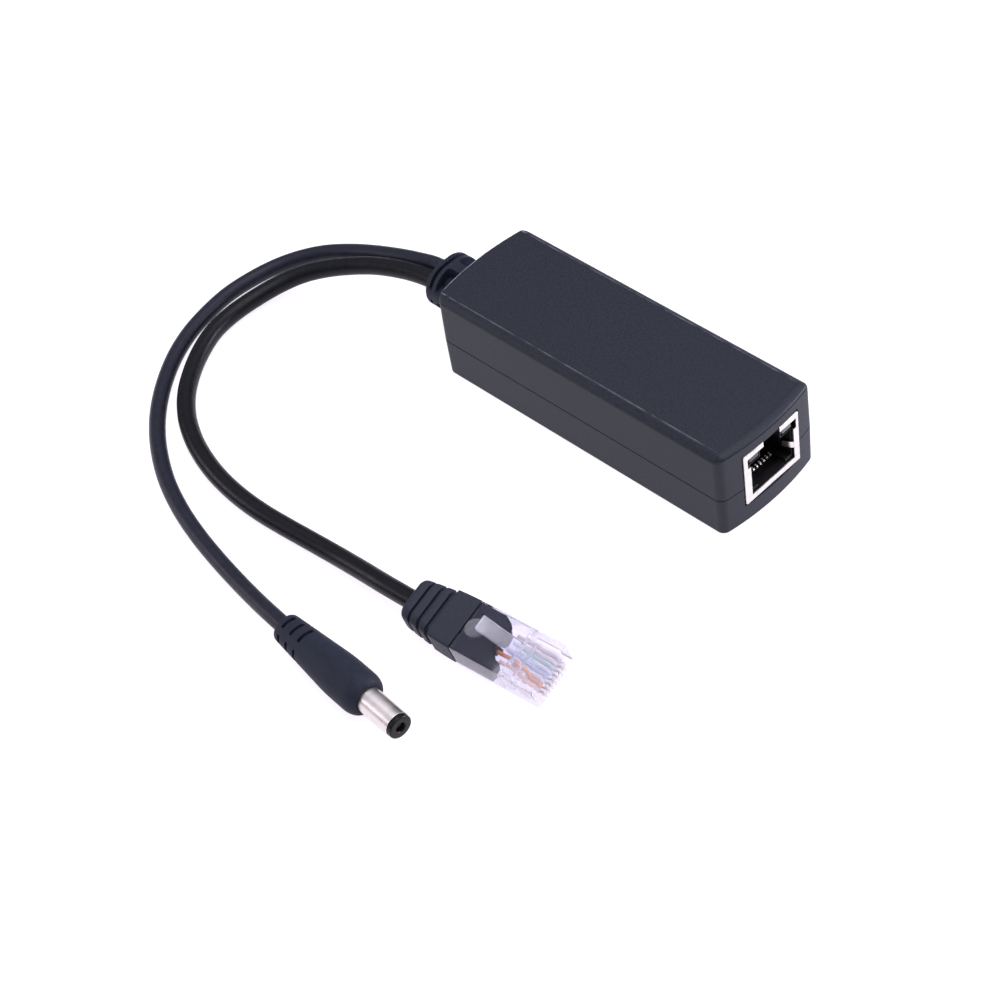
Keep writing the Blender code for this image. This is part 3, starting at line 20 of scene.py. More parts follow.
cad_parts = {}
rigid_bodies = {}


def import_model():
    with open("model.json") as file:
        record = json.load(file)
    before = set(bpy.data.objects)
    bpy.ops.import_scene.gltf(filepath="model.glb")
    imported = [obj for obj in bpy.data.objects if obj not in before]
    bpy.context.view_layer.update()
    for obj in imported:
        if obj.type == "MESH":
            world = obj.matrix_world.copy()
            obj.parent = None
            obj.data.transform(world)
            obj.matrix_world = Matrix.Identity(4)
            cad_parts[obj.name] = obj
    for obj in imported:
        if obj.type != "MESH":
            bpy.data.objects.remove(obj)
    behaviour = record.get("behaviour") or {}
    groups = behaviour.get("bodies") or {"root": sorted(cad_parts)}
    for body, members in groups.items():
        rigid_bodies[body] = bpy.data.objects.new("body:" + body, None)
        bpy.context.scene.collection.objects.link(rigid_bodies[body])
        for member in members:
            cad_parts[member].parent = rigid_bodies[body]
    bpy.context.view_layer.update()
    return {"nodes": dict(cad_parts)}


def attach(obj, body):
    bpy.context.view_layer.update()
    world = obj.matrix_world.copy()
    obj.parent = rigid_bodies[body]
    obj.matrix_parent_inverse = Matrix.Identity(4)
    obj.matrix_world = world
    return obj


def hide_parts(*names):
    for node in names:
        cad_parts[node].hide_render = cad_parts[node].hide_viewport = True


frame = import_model()
NODES = frame["nodes"]
MM = 0.001

# %% [markdown]
# ## Camera
# The photograph looks down on the object from beside its socket, through a long lens. A camera
# could be placed by eye, but this one was solved from the housing's corners: its place, its lens,
# two angles and a small roll. Three directions at right angles then make its matrix, which is
# easier to check than a chain of turns.

# %% Where the camera stands
CAMERA_PLACE = Vector((0.276544, -0.255856, 0.374751))
CAMERA_AZIMUTH = math.radians(51.682)
CAMERA_ELEVATION = math.radians(46.381)
CAMERA_ROLL = math.radians(-10.154)
CAMERA_LENS = 91.248
CAMERA_SENSOR = 36.0
print("camera", round(CAMERA_PLACE.length, 3), "m from the middle of the housing")

# %% Camera


def make_camera():
    """The photograph's camera: it looks back along the azimuth and elevation, rolled a little."""
    level = math.cos(CAMERA_ELEVATION)
    back = Vector((math.sin(CAMERA_AZIMUTH) * level, -math.cos(CAMERA_AZIMUTH) * level,
                   math.sin(CAMERA_ELEVATION)))
    right = (-back).cross(Vector((0, 0, 1))).normalized()
    up = back.cross(right)
    turn = math.cos(CAMERA_ROLL), math.sin(CAMERA_ROLL)
    side = right * turn[0] + up * turn[1]
    rise = up * turn[0] - right * turn[1]
    camera = bpy.data.objects.new("camera", bpy.data.cameras.new("camera"))
    camera.data.lens = CAMERA_LENS
    camera.data.sensor_width = CAMERA_SENSOR
    camera.data.clip_start = 0.01
    camera.matrix_world = Matrix.Translation(CAMERA_PLACE) @ Matrix(
        (side, rise, back)).transposed().to_4x4()
    bpy.context.scene.collection.objects.link(camera)
    bpy.context.scene.camera = camera
    return camera


make_camera()
print("camera at", [round(v, 3) for v in CAMERA_PLACE], "lens", CAMERA_LENS)

# %% [markdown]
# ## Colours
# A colour that is read off a screen is sRGB, but a shader works in linear light. The sums could be
# done once and typed in, but nobody could read them again. One function turns hex into linear
# values here, so that each colour below can be opened in any paint program.

# %% One function for colours


def srgb(text):
    """A hex colour as linear values."""
    values = [int(text[i:i + 2], 16) / 255 for i in (1, 3, 5)]
    linear = [v / 12.92 if v <= 0.04045 else ((v + 0.055) / 1.055) ** 2.4 for v in values]
    return (*linear, 1.0)


print("mid grey in linear light", round(srgb("#808080")[0], 3))

# %% [markdown]
# ## Nodes
# A material is a small graph. It could be wired by hand in the editor, or with one function for
# each kind of node. A single function that adds any node, with its settings, values and links,
# keeps each graph down to a few lines that can be read from left to right.

# %% One function for nodes


def add_node(tree, kind, inputs=None, links=None, **settings):
    """Add one node with its settings, its socket values and the links into it."""
    made = tree.nodes.new(kind)
    for name, value in settings.items():
        setattr(made, name, value)
    for name, value in (inputs or {}).items():
        made.inputs[name].default_value = value
    for name, source in (links or {}).items():
        tree.links.new(source, made.inputs[name])
    return made


print("node tool ready:", add_node.__name__)

# %% One shader for each material


def principled(name, colour, roughness, **sockets):
    """A material with one Principled shader; extra sockets are given by name."""
    made = bpy.data.materials.new(name)
    made.use_nodes = True
    shader = made.node_tree.nodes["Principled BSDF"]
    shader.inputs["Base Color"].default_value = srgb(colour)
    shader.inputs["Roughness"].default_value = roughness
    for socket, value in sockets.items():
        shader.inputs[socket.replace("_", " ")].default_value = value
    return made, made.node_tree, shader


print("shader tool ready:", principled.__name__)

# %% [markdown]
# ## Textures with a size
# Grain on the real thing has a size: half a millimetre on a spark eroded mould, a millimetre or two
# where soft plastic has flowed. A noise is therefore asked for by the size of its spots in
# millimetres. It reads Object coordinates, so it stays put when the camera moves. The middle of the
# noise is stretched to the two values that are wanted.

# %% Noise, spread and blend


def noise(tree, size, detail=3.0, along=None):
    """A noise whose spots are about size millimetres across; along draws it out along X."""
    where = add_node(tree, "ShaderNodeTexCoord").outputs["Object"]
    if along:
        where = add_node(tree, "ShaderNodeMapping", inputs={"Scale": (size / along, 1.0, 1.0)},
                         links={"Vector": where}).outputs["Vector"]
    return add_node(tree, "ShaderNodeTexNoise", inputs={"Scale": 1000 / size, "Detail": detail},
                    links={"Vector": where}).outputs["Fac"]


def spread(tree, source, low, high, start=0.35, end=0.65):
    """Stretch the middle of a texture to two values."""
    return add_node(tree, "ShaderNodeMapRange",
                    inputs={"From Min": start, "From Max": end, "To Min": low, "To Max": high},
                    links={"Value": source}).outputs["Result"]


def blend(tree, share, first, second):
    """Blend two hex colours, the first of which may also be a colour socket."""
    made = add_node(tree, "ShaderNodeMix", data_type="RGBA", links={"Factor": share})
    made.inputs["B"].default_value = srgb(second)
    if isinstance(first, str):
        made.inputs["A"].default_value = srgb(first)
    else:
        tree.links.new(first, made.inputs["A"])
    return made.outputs["Result"]


print("a 0.5 mm grain has a noise scale of", 1000 / 0.5)

# %% Relief and a whole finish


def bump(tree, shader, height, depth, strength=1.0):
    """Raise the surface by a texture, depth in millimetres."""
    made = add_node(tree, "ShaderNodeBump", inputs={"Distance": depth * MM, "Strength": strength},
                    links={"Height": height})
    tree.links.new(made.outputs["Normal"], shader.inputs["Normal"])


def textured(name, shades, roughness, size, depth, along=None, **sockets):
    """A finish with two shades, a range of roughness and a relief, all from one texture in mm."""
    made, tree, shader = principled(name, shades[0], sum(roughness) / 2, **sockets)
    spots = noise(tree, size, 3.0, along)
    tree.links.new(blend(tree, spread(tree, spots, 0.0, 1.0), *shades), shader.inputs["Base Color"])
    tree.links.new(spread(tree, spots, *roughness), shader.inputs["Roughness"])
    bump(tree, shader, spots, depth)
    return made, tree, shader


print("finish tool ready:", textured.__name__)

# %% [markdown]
# ## Cable jackets
# Both cables are soft PVC, extruded round their cores. The die leaves a satin surface with a slow
# waviness about a millimetre long, and no grain. The data cable is nearly black and the power cable
# a bluer dark grey, as two batches of one compound would be. A plain colour would look like
# rubber in a drawing, so two close shades and a small range of roughness break the highlight up.

# %% PVC jackets
# Extruded PVC: satin, a long soft highlight that wavers; 1.1 mm waves only 0.01 mm deep
CABLE = textured("extruded soft PVC jacket, data cable", ("#08090f", "#0c0d16"), (0.32, 0.44),
                 1.1, 0.01, Specular_IOR_Level=0.2)[0]
# The same process in a paler compound: it takes a little more light from above
DC_JACKET = textured("extruded soft PVC jacket, dc cable", ("#1c1e2b", "#222331"), (0.36, 0.48),
                     1.1, 0.01, Specular_IOR_Level=0.2)[0]
print(CABLE.name, "and", DC_JACKET.name)

# %% [markdown]
# ## The cables' routes
# The photograph shows both cables from end to end, so what it shows is their whole length. Each
# leaves the strain relief straight, sinks to the table under its own weight, and sweeps round once
# to its plug. A simulation could lay them, but would not find the photograph's curve. The route is
# given as points instead, the same ones as the solids follow, and rests on the table at its own
# radius.

# %% Sizes and ends of the cables
# where the strain relief ends, the height of the seam, and the cables side by side
RELIEF_FACE = -51.8 * MM
PARTING = 9.6 * MM
SPACING = 4.05 * MM
DATA_DIAMETER = 4.1 * MM
DC_DIAMETER = 3.6 * MM
CABLE_GAP = 0.3 * MM
BOOT_LENGTH = 13.2 * MM
BOOT_END_HEIGHT = 7.4 * MM
PLUG_ROLL = math.radians(12.75)
PLUG_YAW = math.radians(5.8)
# the clear plug lies rolled on to one long edge, 0.05 mm over the table
PLUG_FRAME = (Matrix.Translation((0.0192, -0.0650, 5.84 * MM * math.sin(PLUG_ROLL) + 0.05 * MM))
              @ Matrix.Rotation(PLUG_YAW, 4, "Z") @ Matrix.Rotation(PLUG_ROLL, 4, "X"))
# the power plug lies on its grip, with its axis parallel to the table
DC_FRAME = (Matrix.Translation((-0.0100, -0.0876, 4.70 * MM))
            @ Matrix.Rotation(math.radians(-4.7), 4, "Z"))
print("plugs at", [round(v, 4) for v in PLUG_FRAME.translation],
      [round(v, 4) for v in DC_FRAME.translation])

# %% Route of the power cable
DC_ROUTE = [
    (-0.0569, 0.0018, 0.0096), (-0.0610, 0.0008, 0.0094), (-0.0664, -0.0005, 0.0087),
    (-0.0730, -0.0022, 0.0074), (-0.0793, -0.0043, 0.0060), (-0.0849, -0.0070, 0.0046),
    (-0.0894, -0.0108, 0.0034), (-0.0927, -0.0154, 0.0024), (-0.0946, -0.0211, 0.0019),
    (-0.0953, -0.0278, 0.0018), (-0.0946, -0.0345, 0.0018), (-0.0929, -0.0415, 0.0018),
    (-0.0900, -0.0483, 0.0018), (-0.0858, -0.0550, 0.0018), (-0.0808, -0.0611, 0.0018),
    (-0.0753, -0.0663, 0.0018), (-0.0690, -0.0709, 0.0018), (-0.0616, -0.0751, 0.0018),
    (-0.0533, -0.0785, 0.0018), (-0.0449, -0.0810, 0.0018), (-0.0365, -0.0829, 0.0019),
    (-0.0282, -0.0845, 0.0023), (-0.0210, -0.0859, 0.0033), (-0.0155, -0.0869, 0.0043),
]
print("power cable", len(DC_ROUTE), "points")

# %% Route of the data cable
DATA_ROUTE = [
    (-0.0569, -0.0025, 0.0096), (-0.0626, -0.0037, 0.0092), (-0.0690, -0.0057, 0.0083),
    (-0.0748, -0.0083, 0.0070), (-0.0800, -0.0115, 0.0057), (-0.0841, -0.0154, 0.0045),
    (-0.0870, -0.0203, 0.0033), (-0.0888, -0.0262, 0.0024), (-0.0893, -0.0322, 0.0021),
    (-0.0885, -0.0380, 0.0021), (-0.0864, -0.0434, 0.0021), (-0.0830, -0.0493, 0.0021),
    (-0.0785, -0.0550, 0.0021), (-0.0730, -0.0597, 0.0021), (-0.0669, -0.0632, 0.0021),
    (-0.0608, -0.0656, 0.0021), (-0.0539, -0.0674, 0.0021), (-0.0464, -0.0684, 0.0021),
    (-0.0390, -0.0686, 0.0021), (-0.0319, -0.0682, 0.0021), (-0.0247, -0.0676, 0.0021),
    (-0.0170, -0.0671, 0.0023), (-0.0090, -0.0671, 0.0032), (-0.0030, -0.0673, 0.0041),
]
print("data cable", len(DATA_ROUTE), "points")

# %% [markdown]
# ## Laying the cables
# A cable is a round section swept along its route. The points are first spread evenly along a
# smooth curve, so that the tube has no kinks and its length is known.

# %% Even points on a smooth curve


def smooth_route(points, spacing):
    """Evenly spaced points on a smooth curve through the given points."""
    points = [Vector(point) for point in points]
    padded = [2 * points[0] - points[1], *points, 2 * points[-1] - points[-2]]
    fine = []
    for before, start, end, after in zip(padded, padded[1:], padded[2:], padded[3:]):
        for step in range(24):
            t = step / 24
            fine.append(0.5 * (2 * start + (end - before) * t
                               + (2 * before - 5 * start + 4 * end - after) * t ** 2
                               + (3 * start - before - 3 * end + after) * t ** 3))
    fine.append(points[-1])
    lengths = [0.0]
    for start, end in zip(fine, fine[1:]):
        lengths.append(lengths[-1] + (end - start).length)
    count = max(2, round(lengths[-1] / spacing))
    route, index = [], 0
    for step in range(count + 1):
        target = lengths[-1] * step / count
        while index < len(fine) - 2 and lengths[index + 1] < target:
            index += 1
        span = lengths[index + 1] - lengths[index]
        share = (target - lengths[index]) / span if span else 0.0
        route.append(fine[index].lerp(fine[index + 1], min(1.0, share)))
    return route, lengths[-1]


print("power route", round(smooth_route(DC_ROUTE, 1.2 * MM)[1], 4), "m without its ends")

# %% One cable


def cable(name, points, diameter, node, finish):
    """One round cable as a bevelled curve with an open spline."""
    route, length = smooth_route(points, 1.2 * MM)
    curve = bpy.data.curves.new(name, "CURVE")
    curve.dimensions = "3D"
    curve.bevel_depth = diameter / 2
    curve.bevel_resolution = 10
    curve.use_fill_caps = True
    spline = curve.splines.new("POLY")
    spline.points.add(len(route) - 1)
    for target, spot in zip(spline.points, route):
        target.co = (*spot, 1.0)
    spline.use_smooth = True
    curve.materials.append(finish)
    made = bpy.data.objects.new(name, curve)
    bpy.context.scene.collection.objects.link(made)
    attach(made, "root")
    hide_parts(node)
    return made, length


print("cable tool ready:", cable.__name__)

# %% Both cables
data_start = (RELIEF_FACE - CABLE_GAP, -SPACING / 2, PARTING)
dc_start = (RELIEF_FACE - CABLE_GAP, SPACING / 2, PARTING)
data_end = PLUG_FRAME @ Vector((-BOOT_LENGTH - CABLE_GAP, 0.0, BOOT_END_HEIGHT / 2))
dc_end = DC_FRAME @ Vector((-CABLE_GAP, 0.0, 0.0))
data_cable, data_length = cable("data_cable_jacket", [data_start, *DATA_ROUTE, data_end],
                                DATA_DIAMETER, "data_cable", CABLE)
dc_cable, dc_length = cable("dc_cable_jacket", [dc_start, *DC_ROUTE, dc_end],
                            DC_DIAMETER, "dc_cable", DC_JACKET)
print("cable lengths", round(data_length, 4), round(dc_length, 4))

# %% [markdown]
# ## Lofts, boxes and cuts
# Most of what follows is moulded, so its shape is a set of rings with a skin over them, a rounded
# box, or one shape cut from another. The skin could be a list of faces, but extruding the first
# ring's edges keeps the faces in order and closes the ends by itself. A cut is a Boolean with the
# exact solver, because the walls are thin and often share a plane.

# %% A skin over rings


def loft(rings):
    """Extrude the first ring's edges on to each following ring, then cap both ends."""
    shape = bmesh.new()
    row = [shape.verts.new(point) for point in rings[0]]
    edges = [shape.edges.new((row[i - 1], row[i])) for i in range(len(row))]
    for ring in rings[1:]:
        grown = bmesh.ops.extrude_edge_only(shape, edges=edges)["geom"]
        fresh = {tuple(v.co): v for v in grown if isinstance(v, bmesh.types.BMVert)}
        row = [fresh[tuple(v.co)] for v in row]
        new = set(row)
        edges = [e for e in grown if isinstance(e, bmesh.types.BMEdge) and new.issuperset(e.verts)]
        for vert, point in zip(row, ring):
            vert.co = point
    bmesh.ops.holes_fill(shape, edges=[e for e in shape.edges if e.is_boundary], sides=0)
    return shape


trial = loft([[Vector((x, 0, 0)), Vector((x, 1, 0)), Vector((x, 0, 1))] for x in (0, 1, 2)])
print("a loft over three triangles has", len(trial.faces), "faces")
trial.free()

# %% A rounded box


def join(shape, other):
    """Add one bmesh to another."""
    carrier = bpy.data.meshes.new("carrier")
    other.to_mesh(carrier)
    other.free()
    shape.from_mesh(carrier)
    bpy.data.meshes.remove(carrier)


def box(low, high, radius=0.0, segments=3, shape=None):
    """A box between two corners, its edges rounded if a radius is given."""
    own = bmesh.new()
    corners = bmesh.ops.create_cube(own, size=1.0)["verts"]
    bmesh.ops.scale(own, vec=Vector(high) - Vector(low), verts=corners)
    bmesh.ops.translate(own, vec=(Vector(low) + Vector(high)) / 2, verts=corners)
    if radius:
        bmesh.ops.bevel(own, geom=list(own.edges), offset=radius, segments=segments,
                        affect="EDGES", profile=0.5, material=-1, clamp_overlap=True)
    if shape is None:
        return own
    join(shape, own)
    return shape


trial = box((0, 0, 0), (1, 1, 1), 0.1)
print("a rounded box has", len(trial.faces), "faces")
trial.free()

# %% An exact cut


def carve(shape, tool, operation="DIFFERENCE"):
    """Cut a tool from a shape, or join it on, with an exact Boolean, and give the result back."""
    bodies = []
    for part in (shape, tool):
        bmesh.ops.recalc_face_normals(part, faces=part.faces)
        mesh = bpy.data.meshes.new("working")
        part.to_mesh(mesh)
        part.free()
        body = bpy.data.objects.new("working", mesh)
        bpy.context.scene.collection.objects.link(body)
        bodies.append(body)
    step = bodies[0].modifiers.new("step", "BOOLEAN")
    step.operation = operation
    step.solver = "EXACT"
    step.object = bodies[1]
    graph = bpy.context.evaluated_depsgraph_get()
    graph.update()
    made = bpy.data.meshes.new_from_object(bodies[0].evaluated_get(graph))
    result = bmesh.new()
    result.from_mesh(made)
    for body in bodies:
        mesh = body.data
        bpy.data.objects.remove(body, do_unlink=True)
        bpy.data.meshes.remove(mesh)
    bpy.data.meshes.remove(made)
    return result


trial = carve(box((0, 0, 0), (2, 1, 1)), box((1, -1, -1), (3, 2, 2)))
print("a box cut in half ends at", max(v.co.x for v in trial.verts))
trial.free()

# %% [markdown]
# ## A finished piece
# Plastic and sheet metal have flat faces and tight rounded edges. Smooth shading alone would bend
# the light over the flat faces too. Edges over 32 degrees are therefore kept sharp, and a Weighted
# Normal modifier turns the normals to the large faces, so that only the small radii catch light.
# Every piece rides on the one body and stands for its solids. A value can be painted on its
# points, for a material to read: a painted highlight over slight wear, milkiness, or painted shade.
# The paint changes only between points, so edges are cut round a shape where it should start and
# end.

# %% From a mesh to a piece
SHARP = math.radians(32)


def piece(name, shape, finish, replaced, place=None, paint=None):
    """Turn a bmesh into a finished piece that rides on the body and stands for its CAD nodes.

    paint gives each point a value from its place before it is moved, for the material to read."""
    if paint is not None:
        layer = shape.verts.layers.float.new("paint")
        for vert in shape.verts:
            vert[layer] = paint(vert.co)
    if place is not None:
        bmesh.ops.transform(shape, matrix=place, verts=shape.verts)
    bmesh.ops.recalc_face_normals(shape, faces=shape.faces)
    mesh = bpy.data.meshes.new(name)
    shape.to_mesh(mesh)
    shape.free()
    mesh.shade_smooth()
    mesh.set_sharp_from_angle(angle=SHARP)
    mesh.materials.append(finish)
    made = bpy.data.objects.new(name, mesh)
    bpy.context.scene.collection.objects.link(made)
    flat = made.modifiers.new("flat faces stay flat", "WEIGHTED_NORMAL")
    flat.keep_sharp = True
    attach(made, "root")
    if replaced:
        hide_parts(*replaced)
    return made


print("edges stay sharp over", round(math.degrees(SHARP)), "degrees")

# %% Edges for the paint to change at


def slice_across(shape, *stations):
    """Cut edges round a shape at stations along X, so that its paint can change between them."""
    for along in stations:
        bmesh.ops.bisect_plane(shape, geom=[*shape.verts, *shape.edges, *shape.faces],
                               plane_co=(along, 0, 0), plane_no=(1, 0, 0))
    return shape


trial = slice_across(box((0, 0, 0), (2, 1, 1)), 1.0)
print("a box with one ring cut round it has", len(trial.faces), "faces")
trial.free()

# %% [markdown]
# ## Finish of the housing
# The housing is ABS, injection moulded in a tool whose faces were spark eroded. That leaves a matte
# grain that spreads every highlight. On the crest round the roof, a thin and broken paler line is
# painted into the colour: a painted highlight where the crest catches light, over slight wear. The
# grain is drawn 0.5 mm wide, about four times its real size, because the real one is finer than a
# pixel here. The painted line follows paint on the crest, and a second noise breaks it up.

# %% Moulded ABS


def moulded_shell():
    """Injection moulded ABS: spark eroded grain, and a painted highlight over slight wear on the
    crest.
    """
    made, tree, shader = textured("moulded ABS, spark eroded grain", ("#11151f", "#1d2131"),
                                  (0.47, 0.57), 0.5, 0.03, Specular_IOR_Level=0.30)
    base = shader.inputs["Base Color"].links[0].from_socket
    uneven = spread(tree, noise(tree, 2.6), 0.05, 1.0)
    paint = add_node(tree, "ShaderNodeAttribute", attribute_name="paint").outputs["Fac"]
    sheen_and_wear = add_node(tree, "ShaderNodeMath", operation="MULTIPLY", use_clamp=True,
                    links={0: paint, 1: uneven}).outputs["Value"]
    # the paint lightens the crest's colour: a painted highlight over slight wear
    tree.links.new(blend(tree, sheen_and_wear, base, "#9a9cab"), shader.inputs["Base Color"])
    return made


SHELL = moulded_shell()
print(SHELL.name, "nodes", len(SHELL.node_tree.nodes))

# %% [markdown]
# ## Plan of the housing
# Seen from above, both ends bow outwards and the corners are round. Each wall leans in by 0.7
# degrees from the seam, so that the tool can let go of it. A box with bevelled edges would miss the
# bow and the draft. The plan is drawn as one ring that can be drawn in by any amount, by its own
# amount at either end, and each shell is a loft over such rings.

# %% Sizes of the housing
# the length is from corner to corner, and each end bows out past them
LENGTH = 78.0 * MM
WIDTH = 28.0 * MM
HEIGHT = 21.5 * MM
BOW = 1.5 * MM
CORNER = 2.0 * MM
WALL = 1.8 * MM
DRAFT = math.radians(0.7)
PARTING_GAP = 0.15 * MM
SEAM_ROUND = 0.10 * MM
TOP_FILLET = 1.8 * MM
TOP_LINE = 0.05 * MM
BOTTOM_ROUND = 0.5 * MM
END = LENGTH / 2 + BOW
print("housing", round(2 * END, 4), WIDTH, HEIGHT)

# %% One ring of the plan


def quarter(inset, end_inset, arc_steps=60, corner_steps=12):
    """A quarter of the housing in plan: half of one bowed end and the corner beside it."""
    half = WIDTH / 2
    bow_radius = (half ** 2 + BOW ** 2) / (2 * BOW)
    centre = END - bow_radius
    radius = bow_radius - end_inset
    corner = max(CORNER - inset, CORNER / 5)
    corner_y = half - inset - corner
    reach = math.sqrt((radius - corner) ** 2 - corner_y ** 2)
    tangent = math.atan2(corner_y, reach)
    points = []
    for step in range(arc_steps // 2):
        angle = tangent * step / (arc_steps / 2)
        points.append((centre + radius * math.cos(angle), radius * math.sin(angle)))
    for step in range(corner_steps + 1):
        angle = tangent + (math.pi / 2 - tangent) * step / corner_steps
        points.append((centre + reach + corner * math.cos(angle),
                       corner_y + corner * math.sin(angle)))
    return points


def outline(inset, height, rear=None, socket=None):
    """One ring of the housing, drawn in from its widest line, either end by its own amount."""
    front = quarter(inset, inset if socket is None else socket)
    back = quarter(inset, inset if rear is None else rear)
    upper = front + [(-x, y) for x, y in reversed(back)]
    lower = [(x, -y) for x, y in reversed(upper[1:-1])]
    return [Vector((x, y, height)) for x, y in upper + lower]


print("points in a ring", len(outline(0.0, 0.0)))

# %% Draft and rounding


def drafted(height):
    """How far the drafted wall has drawn in at this height."""
    return abs(height - PARTING) * math.tan(DRAFT)


def quarter_round(radius, steps, first=0.0, power=1.0):
    """(drawn in, risen) pairs along a quarter round; a power over 1 flattens its middle."""
    pairs = []
    for step in range(steps + 1):
        angle = (math.pi / 2 - first) * step / steps
        pairs.append((radius * (1 - math.cos(angle) ** power), radius * math.sin(angle) ** power))
    return pairs


print("the wall leans in by", round(drafted(HEIGHT) / MM, 3), "mm at the roof")

# %% [markdown]
# ## Openings in the ends
# The socket looks out through a square opening and the cables leave through an oval one. Both go
# through the wall of either shell, because they cross the seam. They are cut with one tool each,
# 0.3 mm larger than what passes through, which is the gap that a moulder leaves.

# %% Sizes of the socket's place
JACK_HALF = 8.2 * MM
JACK_BASE = 4.8 * MM
JACK_TOP = 18.1 * MM
JACK_SHIFT = 0.3 * MM
JACK_REAR = 19.0 * MM
JACK_FACE = 40.3 * MM
OPENING_GAP = 0.3 * MM
print("socket", round(2 * JACK_HALF / MM, 1), "by", round((JACK_TOP - JACK_BASE) / MM, 1), "mm")

# %% The two openings
NECK_HALF = (5.6 * MM, 4.6 * MM)


def oval(along, half_width, half_height, steps=24):
    """A flat oval ring round the two cables."""
    straight = max(half_width - half_height, 0.0)
    ring = []
    for side in (1, -1):
        for step in range(steps + 1):
            angle = math.pi * (step / steps - 0.5)
            ring.append(Vector((along, side * (straight + half_height * math.cos(angle)),
                                PARTING + side * half_height * math.sin(angle))))
    return ring


def jack_cut():
    """The opening in the end wall for the socket."""
    side = JACK_HALF + OPENING_GAP
    return box((JACK_REAR, JACK_SHIFT - side, JACK_BASE - OPENING_GAP),
               (END + WALL, JACK_SHIFT + side, JACK_TOP + OPENING_GAP))


def relief_cut():
    """The oval hole in the other end wall."""
    half = NECK_HALF[0] + OPENING_GAP, NECK_HALF[1] + OPENING_GAP
    return loft([oval(x, *half) for x in (-END - WALL, -END + 3 * WALL)])


print("oval hole", round(2 * (NECK_HALF[0] + OPENING_GAP) / MM, 1), "mm wide")

# %% [markdown]
# ## The roof's edges
# Three edges of the roof differ. Along the sides it rounds over in 1.8 mm, from a crest a few
# hundredths of a millimetre high. At the cable end it is nearly sharp. At the socket end it rolls
# over in less height and stops at a fine shadow line. One bevel could not give all three. Each ring
# of the loft is drawn in by its own amount at either end instead.

# %% The two ends of the roof
REAR_EDGE = 0.15 * MM
BROW_DROP = 0.75 * MM
BROW_GROOVE = 0.26 * MM
BROW_DEPTH = 0.16 * MM


def brow(level):
    """How far the socket end is drawn in: the roof rolls over to a fine shadow line in the wall."""
    foot = HEIGHT - BROW_DROP
    full = drafted(HEIGHT - TOP_FILLET) + TOP_FILLET
    if level < foot - BROW_GROOVE:
        return drafted(level)
    if level < foot:
        return drafted(level) + BROW_DEPTH
    share = (level - foot) / BROW_DROP
    return drafted(level) + (full - drafted(level)) * (1 - math.sqrt(max(0.0, 1 - share ** 2)))


print("the brow starts", round(BROW_DROP / MM, 2), "mm under the roof")

# %% [markdown]
# ## Two shells
# The housing is two mouldings that meet at a seam a little below mid height, with a lip inside.
# One closed box with a dark line on it would be quicker, but the seam is real here: both rims
# are rounded by 0.1 mm and stand 0.15 mm apart, so it catches light above and stays dark inside.
# The crest is painted paler, a painted highlight over slight wear: strong at the cable end, faint
# and broken along the sides.

# %% Upper shell
LINE_STATIONS = (-END + 2.3 * MM, -END + 3.3 * MM, -END + 4.6 * MM, END - 9 * MM)
RIM_WALL = 0.55 * MM
RIM_STEP = 1.5 * MM


def upper_shell():
    """Roof with a crest where its rounding starts, a crisp edge at the cable end, drafted wall."""
    rim = PARTING + PARTING_GAP / 2
    shoulder = HEIGHT - TOP_FILLET
    start = drafted(shoulder)
    flat = start + TOP_FILLET
    crisp = drafted(HEIGHT) + REAR_EDGE
    # the roof ends in a crest a few hundredths of a millimetre high, then drops into the rounding
    rings = [outline(flat + 0.35 * MM, HEIGHT - TOP_LINE, crisp + 0.20 * MM),
             outline(flat + 0.12 * MM, HEIGHT - TOP_LINE, crisp + 0.08 * MM),
             outline(flat + 0.04 * MM, HEIGHT, crisp + 0.02 * MM),
             outline(flat - 0.10 * MM, HEIGHT, crisp - 0.05 * MM)]
    for drawn, risen in reversed(quarter_round(TOP_FILLET, 30, math.radians(14), 1.18)):
        level = shoulder + risen
        rings.append(outline(start + drawn, level, drafted(level) if drawn < 0.8 * TOP_FILLET
                             else drafted(level) + 0.03 * MM, min(brow(level), flat - 0.12 * MM)))
    rings[-1] = outline(start, shoulder)
    rings += [outline(0.0, rim + SEAM_ROUND), outline(0.3 * SEAM_ROUND, rim + 0.3 * SEAM_ROUND),
              outline(SEAM_ROUND, rim), outline(RIM_WALL, rim),
              outline(RIM_WALL, PARTING + RIM_STEP), outline(WALL, PARTING + RIM_STEP),
              outline(WALL + drafted(HEIGHT - WALL), HEIGHT - WALL)]
    shape = carve(carve(loft(rings), jack_cut()), relief_cut())
    return slice_across(shape, *LINE_STATIONS)


print("edges for the crest's paint at", [round(x / MM, 1) for x in LINE_STATIONS], "mm")

# %% Lower shell
LIP_INSET = 0.8 * MM
LIP_HEIGHT = 1.2 * MM


def lower_shell():
    """Flat floor, crisp lower edge, drafted wall and the lip that locates the upper shell."""
    rim = PARTING - PARTING_GAP / 2
    rings = []
    for drawn, risen in reversed(quarter_round(BOTTOM_ROUND, 5)):
        rings.append(outline(drafted(BOTTOM_ROUND) + drawn, BOTTOM_ROUND - risen))
    rings += [outline(0.0, rim - SEAM_ROUND), outline(0.3 * SEAM_ROUND, rim - 0.3 * SEAM_ROUND),
              outline(SEAM_ROUND, rim), outline(LIP_INSET, rim),
              outline(LIP_INSET, PARTING + LIP_HEIGHT), outline(WALL, PARTING + LIP_HEIGHT),
              outline(WALL, PARTING), outline(WALL + drafted(WALL), WALL)]
    return carve(carve(loft(rings), jack_cut()), relief_cut())


print("lip", round((WALL - LIP_INSET) / MM, 2), "mm thick and",
      round(LIP_HEIGHT / MM, 2), "mm high")

# %% The housing's pieces


